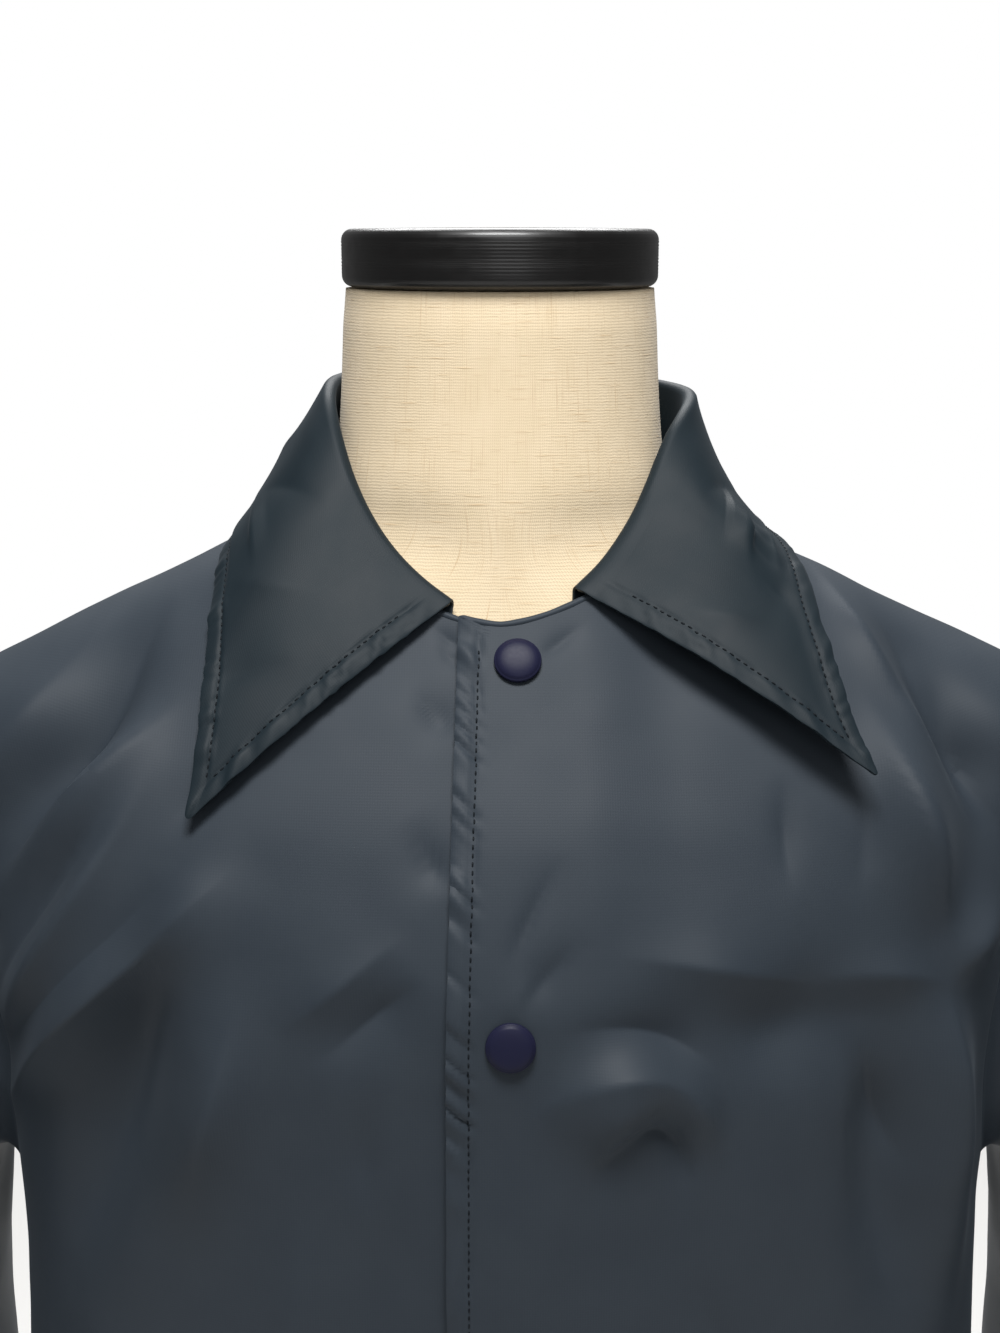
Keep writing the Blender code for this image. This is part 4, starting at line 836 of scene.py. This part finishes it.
sew_in(back, ["back"])
back_hem = hem_line(back_points, grid_normals(back_points), height - HEM_HEIGHT)
back_stitches = stitch_object("back_stitches", [back_hem])


# Sleeves
# One-piece set-in sleeves, each sewn round an armhole and closed by a seam under the arm. They hang empty,
# so the tops are full and the lower lengths fall nearly flat, with slack folds about the elbow.
SLEEVE_SEAM_GAP = 0.0002
SLEEVE_HEAD = 0.006
SLEEVE_HEAD_DIP = 0.55
SLEEVE_DEGREES = 560.0
SLEEVE_RING_SPREAD = 1.25
SLEEVE_SIDES = 132
SLEEVE_GIRTH = 0.36
LOWEST_RING_SPACING = 0.085
CUFF_PER_DEGREE = 0.0006
SleeveRing = namedtuple("SleeveRing", "place outer_x outer_z inner_x inner_z front back")
SLEEVE_RINGS = (
    SleeveRing(0, 0.234, 0.7020, 0.1870, 0.5340, 0.062, 0.054),
    SleeveRing(1, 0.247, 0.6860, 0.1930, 0.5340, 0.070, 0.062),
    SleeveRing(2, 0.256, 0.6560, 0.1985, 0.5250, 0.077, 0.069),
    SleeveRing(3, 0.262, 0.6120, 0.2020, 0.5060, 0.083, 0.075),
    SleeveRing(4, 0.265, 0.5500, 0.2040, 0.4740, 0.087, 0.079),
    SleeveRing(5, 0.266, 0.4800, 0.2055, 0.4360, 0.089, 0.078),
    SleeveRing(6, 0.266, 0.4000, 0.2065, 0.3820, 0.089, 0.070),
    SleeveRing(7, 0.265, 0.3000, 0.2080, 0.2940, 0.087, 0.055),
    SleeveRing(8, 0.262, 0.2000, 0.2095, 0.1980, 0.083, 0.041),
    SleeveRing(9, 0.258, 0.1200, 0.2115, 0.1200, 0.078, 0.030),
)

# Folds of a sleeve, from and to an angle round it (as a share of SLEEVE_DEGREES, from the front over the
# outer arm) and a share of its length; the other columns are as on the body, the bow and width in shares
SLEEVE_FOLDS = (
    Fold(0.125, 0.06, 0.045, 0.50, 0.0, 0.070, 0.008, 0.50),
    Fold(0.196, 0.10, 0.277, 0.55, 0.0, 0.070, 0.008, 0.50),
    Fold(0.164, 0.14, 0.152, 0.50, 0.0, 0.080, -0.007, 0.55),
    Fold(0.054, 0.46, 0.250, 0.60, 0.0, 0.050, 0.008, 0.50),
    Fold(0.036, 0.53, 0.223, 0.68, 0.0, 0.050, -0.008, 0.50),
    Fold(0.063, 0.62, 0.232, 0.76, 0.0, 0.050, 0.006, 0.50),
    Fold(0.125, 0.70, 0.143, 1.00, 0.0, 0.090, -0.007, 1.00),
    Fold(0.384, 0.54, 0.571, 0.70, 0.0, 0.060, 0.005, 0.50),
    Fold(0.070, 0.20, 0.020, 0.42, 0.02, 0.0121, -0.0030, 0.50),
    Fold(0.230, 0.24, 0.290, 0.46, -0.02, 0.0121, -0.0030, 0.50),
    Fold(0.100, 0.40, 0.210, 0.47, 0.01, 0.0099, 0.0030, 0.40),
    Fold(0.040, 0.57, 0.150, 0.63, 0.01, 0.0088, 0.0025, 0.50),
    Fold(0.110, 0.70, 0.250, 0.73, -0.01, 0.0088, -0.0025, 0.50),
    Fold(0.060, 0.76, 0.070, 0.97, 0.01, 0.0121, 0.0030, 0.50),
    Fold(0.220, 0.78, 0.240, 0.98, -0.01, 0.0121, 0.0030, 0.50),
    Fold(0.330, 0.30, 0.340, 0.60, 0.02, 0.0132, -0.0030, 0.50),
    Fold(0.060, 0.08, 0.030, 0.30, 0.01, 0.0110, 0.0040, 0.40),
    Fold(0.120, 0.07, 0.110, 0.34, -0.01, 0.0110, -0.0034, 0.45),
    Fold(0.180, 0.09, 0.205, 0.36, 0.01, 0.0110, 0.0040, 0.45),
    Fold(0.020, 0.44, 0.130, 0.53, -0.02, 0.0085, -0.0052, 0.50),
    Fold(0.140, 0.52, 0.290, 0.58, 0.02, 0.0085, -0.0052, 0.45),
    Fold(0.030, 0.60, 0.190, 0.66, 0.02, 0.0085, 0.0052, 0.55),
    Fold(0.150, 0.64, 0.300, 0.70, -0.02, 0.0085, 0.0046, 0.50),
    Fold(0.020, 0.70, 0.120, 0.78, 0.02, 0.0085, -0.0046, 0.50),
    Fold(0.160, 0.80, 0.170, 1.00, 0.01, 0.0121, -0.0040, 1.00),
    Fold(0.420, 0.20, 0.440, 0.48, 0.02, 0.0138, 0.0034, 0.50),
    Fold(0.500, 0.58, 0.520, 0.90, 0.01, 0.0138, -0.0034, 0.50),
)


def armhole_ring(angle, side, outward):
    """The armhole's edge all round, from the front over the shoulder to the back and the underarm, carried
    on along the panels' own slope by a distance outward."""

    def edge(at):
        share = np.arccos(np.clip(-np.sin(np.radians(at)), -1, 1)) / np.pi
        on_front = np.cos(np.radians(at)) > 0
        edge_turn, edge_height = armhole(share, np.where(on_front, ARMHOLE_SCOOP_FRONT, ARMHOLE_SCOOP_BACK))
        return side * np.where(on_front, edge_turn, 180 - edge_turn), edge_height

    tangent = cloth_point(*edge(angle + 1)) - cloth_point(*edge(angle - 1))
    across = unit(np.cross(tangent, body_normal(*edge(angle)))) * side
    return cloth_point(*edge(angle)) + across * outward


def sleeve_points(place, angle, side):
    """Points of a sleeve at places in the table of rings and angles round it."""
    size = {name: along(SLEEVE_RINGS, "place", name, place) for name in SleeveRing._fields}
    rise, ahead = np.sin(np.radians(angle)), np.cos(np.radians(angle))
    zero = np.zeros(np.broadcast(place, angle).shape)
    outer = np.stack([size["outer_x"] + zero, zero, size["outer_z"] + zero], axis=-1)
    inner = np.stack([size["inner_x"] + zero, zero, size["inner_z"] + zero], axis=-1)
    across = (outer - inner) / 2
    depth = np.where(ahead > 0, size["front"], size["back"]) * signed_power(ahead, ROUNDNESS)
    smooth = (outer + inner) / 2 + across * signed_power(rise, ROUNDNESS)[..., None]
    smooth[..., 1] -= depth
    share = place / SLEEVE_RINGS[-1].place
    out = folded_out(angle / SLEEVE_DEGREES + zero, share + zero, 180 / SLEEVE_DEGREES, SLEEVE_FOLDS)
    out = out + SWELL_HEIGHT * swell(smooth * (1, 1, 0.7) + side, SWELL_LENGTH, 5)
    out = out + SMALL_SWELL_HEIGHT * swell(smooth + side, SMALL_SWELL_LENGTH, 6)
    cuff = (SLEEVE_RINGS[-1].place - place) * LOWEST_RING_SPACING
    out = out + HEM_PUCKER * sewn_edge(cuff + zero, angle * CUFF_PER_DEGREE + zero, 31, HEM_DEPTH)
    away = unit(unit(across) * rise[..., None] + np.stack([zero, -ahead + zero, zero], axis=-1))
    return (smooth + away * out[..., None]) * (side, 1, 1)


ring_angles = np.linspace(0, 360, SLEEVE_SIDES, endpoint=False)
ring_places = SLEEVE_RINGS[-1].place * np.linspace(0, 1, 150) ** SLEEVE_RING_SPREAD
head_shares = np.linspace(0, 1, 12, endpoint=False)[:, None, None]
for name, side in (("sleeve_left", 1), ("sleeve_right", -1)):
    start = armhole_ring(ring_angles, side, SLEEVE_SEAM_GAP)[None]
    ahead = unit(armhole_ring(ring_angles, side, SLEEVE_SEAM_GAP + SLEEVE_HEAD)[None] - start)
    over = np.clip(np.sin(np.radians(ring_angles)), 0, 1)[None, :, None] ** 2
    ahead = unit(ahead * (1 - over) + np.array((side, 0.0, -SLEEVE_HEAD_DIP)) * over)
    tube = sleeve_points(ring_places[:, None], ring_angles[None, :], side)
    reach = np.linalg.norm(tube[:1] - start, axis=-1, keepdims=True)
    s = head_shares
    head = start * (1 + 2 * s) * (1 - s) ** 2 + ahead * reach * s * (1 - s) ** 2
    head = head + tube[:1] * s * s * (3 - 2 * s) - unit(tube[1:2] - tube[:1]) * reach * s * s * (1 - s)
    points = np.concatenate([head, tube])
    if side > 0:
        points = points[:, ::-1]
    down = np.cumsum(np.linalg.norm(np.diff(points, axis=0), axis=-1).mean(axis=1))
    girth = np.linspace(0, SLEEVE_GIRTH, SLEEVE_SIDES + 1)
    cut = np.stack(np.broadcast_arrays(girth[None, :], np.concatenate([[0], down])[:, None]), axis=-1)
    sleeve = grid_object(name + "_tube", points, cut, around=True)
    sleeve.data.materials.append(nylon)
    sew_in(sleeve, [name])
    from_cuff, outs = points[:-40:-1], grid_normals(points)[:-40:-1]
    steps = np.linalg.norm(np.diff(from_cuff, axis=0), axis=-1)
    up = np.concatenate([np.zeros((1, SLEEVE_SIDES)), np.cumsum(steps, axis=0)])
    stitches = stitch_object(name + "_stitches", [hem_line(from_cuff, outs, up)])


# Collar
# A pointed collar of two layers of the nylon with a thin interfacing. It stands inside the neck edge,
# rolls over and falls on the fronts, and is topstitched all round its outer edge and its two ends.
COLLAR_SEAM_GAP = 0.0009
COLLAR_WALL = 0.0018
PANEL_WALL = 0.0015
FALL_CLEARANCE = 0.0030
ROLL_RADIUS = 0.0024
BULGE_RISE = 0.5
COLLAR_INSET = 0.0074
COLLAR_STEPS = 40
COLLAR_POINT_RADIUS = 0.0035
COLLAR_WAVE = 0.0005
COLLAR_WAVE_LENGTH = 0.020
COLLAR_RIPPLE = 0.0005
COLLAR_RIPPLE_LENGTH = 0.022
COLLAR_FLARE = 0.0030
COLLAR_FLARE_DEPTH = 0.016
SLACK_RIGHT = 0.75
SLACK_LEFT = 0.45
# The collar's two random tones are the body nylon's with a slight green tint, made far darker as painted
# shade for the collar lying tilted away from the light
COLLAR_PAINTED_SHADE_DARK = "#141d23"
COLLAR_PAINTED_SHADE_LIGHT = "#19242a"
CollarSection = namedtuple("CollarSection", "station stand lean edge_x edge_height lift bulge")
COLLAR_SECTIONS = (
    CollarSection(-1.85, 0.0055, 0.0010, -0.1011, 0.6780, 0.006, 0.004),
    CollarSection(-1.72, 0.0095, -0.0005, -0.0994, 0.6995, 0.006, 0.004),
    CollarSection(-1.57, 0.0150, -0.0035, -0.0986, 0.7220, 0.006, 0.004),
    CollarSection(-1.40, 0.0255, -0.0050, -0.0985, 0.7420, 0.006, 0.003),
    CollarSection(-1.22, 0.0370, -0.0060, -0.0983, 0.7555, 0.005, 0.002),
    CollarSection(-1.00, 0.0475, -0.0055, -0.0990, 0.7655, 0.004, 0.000),
    CollarSection(-0.50, 0.0490, -0.0030, -0.0600, 0.7610, 0.004, 0.003),
    CollarSection(0.00, 0.0490, 0.0000, 0.0000, 0.7570, 0.004, 0.004),
    CollarSection(0.50, 0.0465, 0.0040, 0.0620, 0.7600, 0.004, 0.002),
    CollarSection(1.00, 0.0430, 0.0050, 0.1030, 0.7635, 0.005, -0.006),
    CollarSection(1.20, 0.0355, -0.0050, 0.1030, 0.7520, 0.008, 0.000),
    CollarSection(1.38, 0.0240, -0.0050, 0.1045, 0.7365, 0.010, 0.003),
    CollarSection(1.54, 0.0155, -0.0030, 0.1090, 0.7200, 0.012, 0.005),
    CollarSection(1.68, 0.0100, 0.0015, 0.1140, 0.7030, 0.013, 0.006),
    CollarSection(1.77, 0.0065, 0.0030, 0.1192, 0.6880, 0.014, 0.006),
)

# Creases of the collar's fall, from and to a station (as a length of COLLAR_STATION) and a distance down
# the fall, both in metres
COLLAR_STATION = 0.11
COLLAR_CREASES = (
    Fold(-0.160, 0.010, -0.125, 0.040, 0.002, 0.0050, -0.0012, 0.50),
    Fold(-0.182, 0.022, -0.148, 0.060, -0.002, 0.0060, 0.0012, 0.50),
    Fold(-0.190, 0.050, -0.175, 0.085, 0.001, 0.0050, -0.0009, 0.50),
    Fold(-0.120, 0.012, -0.105, 0.038, 0.001, 0.0050, 0.0010, 0.50),
    Fold(0.150, 0.018, 0.112, 0.040, -0.002, 0.0060, -0.0022, 0.50),
    Fold(0.158, 0.030, 0.128, 0.052, 0.002, 0.0045, 0.0014, 0.50),
    Fold(0.130, 0.026, 0.127, 0.056, 0.001, 0.0052, -0.0013, 0.60),
    Fold(0.138, 0.030, 0.136, 0.060, 0.001, 0.0050, -0.0014, 0.60),
    Fold(0.147, 0.036, 0.144, 0.064, 0.001, 0.0052, -0.0013, 0.60),
    Fold(0.158, 0.046, 0.154, 0.068, 0.001, 0.0048, -0.0011, 0.60),
    Fold(0.186, 0.030, 0.170, 0.062, 0.002, 0.0055, 0.0012, 0.50),
    Fold(-0.060, 0.008, -0.045, 0.034, 0.002, 0.0060, -0.0014, 0.50),
    Fold(0.040, 0.006, 0.055, 0.036, -0.002, 0.0060, -0.0014, 0.50),
)


def collar_seam(station):
    """Where the collar's stand starts, just inside the neck edge, and the level way out from there."""

    def edge(at):
        edge_turn, edge_height = neckline(2 - np.abs(at))
        return cloth_point(np.where(at < 0, -1, 1) * edge_turn, edge_height)

    tangent = edge(station + 0.01) - edge(station - 0.01)
    out = unit(np.cross((0.0, 0.0, 1.0), tangent))
    return edge(station) - out * (COLLAR_WALL / 2 + PANEL_WALL / 2 + COLLAR_SEAM_GAP), out


def station_turn(x, height, station):
    """The turn of a point that lies over the front or, near the middle of the collar, over the back."""
    turn = turn_at(x, height)
    return np.where(np.abs(station) < 1, 180 - turn, turn)


def fall_clear(points, station):
    """Points of the fall, moved out from the body where they come too near."""
    x, height = points[..., 0], np.minimum(points[..., 2], NECK_POINT_HEIGHT)
    turn = station_turn(x, height, station)
    normal = body_normal(turn, height)
    room = np.sum((points - cloth_point(turn, height)) * normal, axis=-1)
    short = np.maximum(0.0, FALL_CLEARANCE + np.where(x > 0, LAP_LIFT, 0.0) - room)
    return points + normal * np.where(points[..., 2] > NECK_POINT_HEIGHT, 0.0, short)[..., None]


def collar_grid(stations, stand, roll, fall):
    """The collar's sections at stations: up the stand, over the roll and down the fall, each by shares."""
    size = {n: along(COLLAR_SECTIONS, "station", n, stations)[:, None] for n in CollarSection._fields}
    start, out = collar_seam(stations)
    up = np.array((0.0, 0.0, 1.0))
    centre = start + up * (size["stand"] - ROLL_RADIUS) + out * size["lean"]
    edge_turn = station_turn(size["edge_x"][:, 0], size["edge_height"][:, 0], stations)
    edge = cloth_point(edge_turn, size["edge_height"][:, 0], size["lift"][:, 0])
    toward = edge - centre
    end_angle = np.arctan2(np.maximum(0.0, np.sum(toward * out, axis=-1)), toward[:, 2])[:, None]
    top = centre - out * ROLL_RADIUS
    rising = start[:, None] + (top - start)[:, None] * stand[None, :, None]
    angle = (end_angle * roll[None, :])[..., None]
    rolling = centre[:, None] + ROLL_RADIUS * (up * np.sin(angle) - out[:, None] * np.cos(angle))
    s = fall[None, :, None]
    from_roll = rolling[:, -1:]
    bend = (from_roll + edge[:, None]) / 2
    bend = bend + unit(out + up * BULGE_RISE)[:, None] * (2 * size["bulge"])[..., None]
    falling = from_roll * (1 - s) ** 2 + bend * (2 * s * (1 - s)) + edge[:, None] * s * s
    return np.concatenate([rising, rolling, fall_clear(falling, stations[:, None] + 0 * fall)], axis=1)


def smooth_through(places, points, at):
    """A smooth curve through points, first axis, at even places."""
    step = places[1] - places[0]
    slope = np.gradient(points, step, axis=0)
    i = np.clip(((at - places[0]) / step).astype(int), 0, len(places) - 2)
    s = ((at - places[i]) / step)[:, None, None]
    start = (1 + 2 * s) * (1 - s) ** 2 * points[i] + s * (1 - s) ** 2 * step * slope[i]
    return start + s * s * (3 - 2 * s) * points[i + 1] - s * s * (1 - s) * step * slope[i + 1]


first, last = COLLAR_SECTIONS[0].station, COLLAR_SECTIONS[-1].station
end_steps = np.linspace(0, 0.16, 26, endpoint=False)
stations = np.concatenate([
    first + end_steps, np.linspace(first + 0.16, last - 0.16, 300), (last - end_steps)[::-1]])
stand_shares = np.linspace(0, 1, 10, endpoint=False)
roll_shares = np.linspace(0, 1, 10)
fall_shares = np.concatenate([np.linspace(0, 0.82, 40, endpoint=False)[1:], np.linspace(0.82, 1, 20)])
sections_at = np.linspace(first, last, COLLAR_STEPS + 1)
sections = collar_grid(sections_at, stand_shares, roll_shares, fall_shares)
for _ in range(6):
    eased = sections.copy()
    eased[1:-1] = (sections[:-2] + 2 * sections[1:-1] + sections[2:]) / 4
    over_shoulder = np.exp(-(((np.abs(sections_at) - 1) / 0.25) ** 2))[:, None, None]
    sections = sections + (eased - sections) * over_shoulder
collar_points = smooth_through(sections_at, sections, stations)
fall_from = len(stand_shares) + len(roll_shares) - 1
down_steps = np.linalg.norm(np.diff(collar_points, axis=1), axis=-1)
walked = np.concatenate([np.zeros((len(stations), 1)), np.cumsum(down_steps, axis=1)], axis=1)
to_edge = walked[:, -1:] - walked
along_steps = np.linalg.norm(np.diff(collar_points, axis=0), axis=-1)
from_first = np.concatenate([np.zeros((1, walked.shape[1])), np.cumsum(along_steps, axis=0)])
to_end = np.minimum(from_first, from_first[-1:] - from_first)
fallen = walked - walked[:, fall_from:fall_from + 1]
on_fall = smooth_step(fallen / 0.012)
way = from_first + 0.3 * walked
edge_detail = np.where(to_edge < to_end, sewn_edge(to_edge, way, 41, COLLAR_INSET),
                       sewn_edge(to_end, walked, 43, COLLAR_INSET))
creases = folded_out(stations[:, None] * COLLAR_STATION + 0 * fallen, fallen, 10.0, COLLAR_CREASES)
wave = COLLAR_WAVE * swell(np.stack([way, 0 * way, 0 * way], axis=-1), COLLAR_WAVE_LENGTH, 47)
wave = wave * np.exp(-((to_edge / 0.022) ** 2))
ripples = COLLAR_RIPPLE * swell(collar_points, COLLAR_RIPPLE_LENGTH, 48)
calm = 1 - 0.85 * np.exp(-(((np.abs(stations) - 1.06) / 0.16) ** 2))[:, None]
flare = COLLAR_FLARE * smooth_step(1 - to_edge / COLLAR_FLARE_DEPTH)
flare = flare * np.exp(-(((stations - 1.40) / 0.26) ** 2))[:, None]
slack = np.interp(stations, (-1, 1), (SLACK_RIGHT, SLACK_LEFT))[:, None]
collar_out = on_fall * (calm * (slack * edge_detail + wave) + creases + ripples + flare)
collar_points = collar_points - grid_normals(collar_points) * collar_out[..., None]
beside = np.clip(1 - to_end / COLLAR_POINT_RADIUS, 0, 1)
below = np.clip(1 - to_edge / COLLAR_POINT_RADIUS, 0, 1)
round_off = 1 - np.maximum(beside, below) / np.maximum(np.hypot(beside, below), 1e-9)
inward = unit(np.gradient(collar_points, axis=0)) * np.where(stations < 0, 1, -1)[:, None, None]
upward = -unit(np.gradient(collar_points, axis=1))
drawn_in = inward * (beside * round_off)[..., None] + upward * (below * round_off)[..., None]
collar_points = collar_points + drawn_in * COLLAR_POINT_RADIUS
collar_cut = np.stack([from_first, walked], axis=-1)
collar = grid_object("collar_piece", collar_points, collar_cut)
# The collar's nylon has painted shade: its colours are darker than the body's cloth to stand in for the shade
# on the collar's tilt
collar_nylon_painted_shade = nylon_taffeta("nylon_taffeta_collar_painted_shade", COLLAR_PAINTED_SHADE_DARK, COLLAR_PAINTED_SHADE_LIGHT)
collar.data.materials.append(collar_nylon_painted_shade)
sew_in(collar, ["collar"])
collar_ways = -grid_normals(collar_points)
fall = slice(fall_from + 6, None)
outer_line = line_across(
    collar_points[:, ::-1][:, :40], collar_ways[:, ::-1][:, :40], to_edge[:, ::-1][:, :40], COLLAR_INSET)
outer_line = outer_line[to_end[:, -8] > COLLAR_INSET]
end_lines = []
for flip in (1, -1):
    grid = collar_points[::flip].swapaxes(0, 1)[fall]
    ways = collar_ways[::flip].swapaxes(0, 1)[fall]
    reach = (from_first if flip > 0 else from_first[-1:] - from_first)[::flip].swapaxes(0, 1)[fall]
    inside = to_edge[::flip].swapaxes(0, 1)[fall][:, 0] > COLLAR_INSET
    end_lines.append(line_across(grid[inside], ways[inside], reach[inside], COLLAR_INSET))
collar_stitches = stitch_object("collar_stitches", [outer_line, *end_lines])


# Snaps
# Six moulded nylon snaps. Each cap is a low dome with a thin rolled rim, pressed over its socket through
# the upper front, so that it sits hard on the cloth.
SNAP_RADIUS = 0.008
SNAP_HEIGHT = 0.0034
SNAP_COUNT = 6
SNAP_SPACING = 0.126
FIRST_SNAP_HEIGHT = 0.728
SNAP_GAP = 0.0002
SNAP_SIDES = 64
SNAP_NAVY = "#1d1e33"
SnapProfile = namedtuple("SnapProfile", "radius height")
SNAP_PROFILE = (
    SnapProfile(0.020, 0.00),
    SnapProfile(0.90, 0.00),
    SnapProfile(0.97, 0.04),
    SnapProfile(1.00, 0.16),
    SnapProfile(1.00, 0.36),
    SnapProfile(0.985, 0.46),
    SnapProfile(0.955, 0.52),
    SnapProfile(0.935, 0.53),
    SnapProfile(0.915, 0.58),
    SnapProfile(0.87, 0.70),
    SnapProfile(0.80, 0.80),
    SnapProfile(0.68, 0.88),
    SnapProfile(0.50, 0.945),
    SnapProfile(0.30, 0.98),
    SnapProfile(0.020, 1.00),
)

# Moulded nylon, dyed through: an even dark navy with the mould's polish and a few fine scuffs
snap_nylon, tree, shader = new_material("moulded_nylon")
place = add_node(tree, "ShaderNodeTexCoord").outputs["Object"]
scuffs = add_node(tree, "ShaderNodeTexNoise", {"Vector": place, "Scale": 900.0, "Detail": 4.0})
polish = add_node(tree, "ShaderNodeMapRange", {
    "Value": scuffs.outputs["Fac"], "To Min": 0.34, "To Max": 0.46})
tree.links.new(polish.outputs["Result"], shader.inputs["Roughness"])
shader.inputs["Base Color"].default_value = linear(SNAP_NAVY)
shader.inputs["IOR"].default_value = 1.53
shader.inputs["Specular IOR Level"].default_value = 0.09

snap_height, walked_down, snap_heights, step = FIRST_SNAP_HEIGHT, 0.0, [], 0.0005
while len(snap_heights) < SNAP_COUNT:
    if walked_down >= SNAP_SPACING * len(snap_heights):
        snap_heights.append(snap_height)
    here = body_point(turn_at(closure_x(snap_height), snap_height), snap_height)
    below = body_point(turn_at(closure_x(snap_height - step), snap_height - step), snap_height - step)
    walked_down += np.linalg.norm(here - below)
    snap_height -= step
for number, snap_height in enumerate(snap_heights, 1):
    snap_profile = [(p.radius * SNAP_RADIUS, p.height * SNAP_HEIGHT) for p in SNAP_PROFILE]
    snap = lathe_object(f"snap_cap_{number}", snap_profile, SNAP_SIDES)
    snap_turn = turn_at(closure_x(snap_height), snap_height)
    normal = Vector(body_normal(snap_turn, snap_height))
    seat = Vector(cloth_point(snap_turn, snap_height, LAP_LIFT + PANEL_WALL / 2 + SNAP_GAP))
    snap.matrix_world = Matrix.Translation(seat) @ normal.to_track_quat("Z", "Y").to_matrix().to_4x4()
    snap.data.materials.append(snap_nylon)
    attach(snap, "root")
    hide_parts(f"snap_{number}")


# Floor, light and camera
# A plain pale floor under the form, a broad soft light overhead with fill from the front, and a camera
# at the height of the collar that looks a little down, as close as the photograph was taken.
FLOOR_RADIUS = 1.4
FLOOR_GREY = "#e9e8e6"
LENS = 36 * 1.7266
CAMERA_PLACE = (0.0, -0.65, 0.8092)
CAMERA_DOWN = math.radians(8.0)

floor = lathe_object("floor", [(0.01, -0.012), (1.0, -0.012), (1.0, -0.002), (0.99, 0.0), (0.01, 0.0)], 96,
                     FLOOR_RADIUS, FLOOR_RADIUS)
paint, tree, shader = new_material("matt_floor_paint")
shader.inputs["Base Color"].default_value = linear(FLOOR_GREY)
shader.inputs["Roughness"].default_value = 0.8
floor.data.materials.append(paint)

world = bpy.data.worlds.new("studio")
bpy.context.scene.world = world
world.use_nodes = True
tree = world.node_tree
tree.nodes["Background"].inputs["Color"].default_value = (1.0, 1.0, 1.0, 1.0)
seen = add_node(tree, "ShaderNodeLightPath").outputs["Is Camera Ray"]
glow = add_node(tree, "ShaderNodeMapRange", {"Value": seen, "To Min": 0.16, "To Max": 1.0})
tree.links.new(glow.outputs["Result"], tree.nodes["Background"].inputs["Strength"])

Softbox = namedtuple("Softbox", "name place toward width height watts")
SOFTBOXES = (
    Softbox("overhead", (0.0, -0.85, 2.25), (0.0, -0.05, 0.65), 0.8, 0.5, 46.0),
    Softbox("front", (0.3, -2.5, 1.4), (0.0, 0.0, 0.7), 1.4, 1.2, 9.0),
    Softbox("back", (0.0, 1.5, 2.4), (0.0, 0.0, 0.6), 1.4, 1.0, 45.0),
)
for box in SOFTBOXES:
    lamp = bpy.data.lights.new(box.name, "AREA")
    lamp.shape = "RECTANGLE"
    lamp.size = box.width
    lamp.size_y = box.height
    lamp.energy = box.watts
    light = bpy.data.objects.new(box.name, lamp)
    light.location = box.place
    light.rotation_euler = (Vector(box.toward) - Vector(box.place)).to_track_quat("-Z", "Y").to_euler()
    bpy.context.scene.collection.objects.link(light)

camera = bpy.data.objects.new("camera", bpy.data.cameras.new("camera"))
camera.data.sensor_fit = "HORIZONTAL"
camera.data.sensor_width = 36.0
camera.data.lens = LENS
camera.location = CAMERA_PLACE
camera.rotation_euler = (math.pi / 2 - CAMERA_DOWN, 0.0, 0.0)
bpy.context.scene.collection.objects.link(camera)
bpy.context.scene.camera = camera
bpy.context.scene.view_settings.view_transform = "Standard"
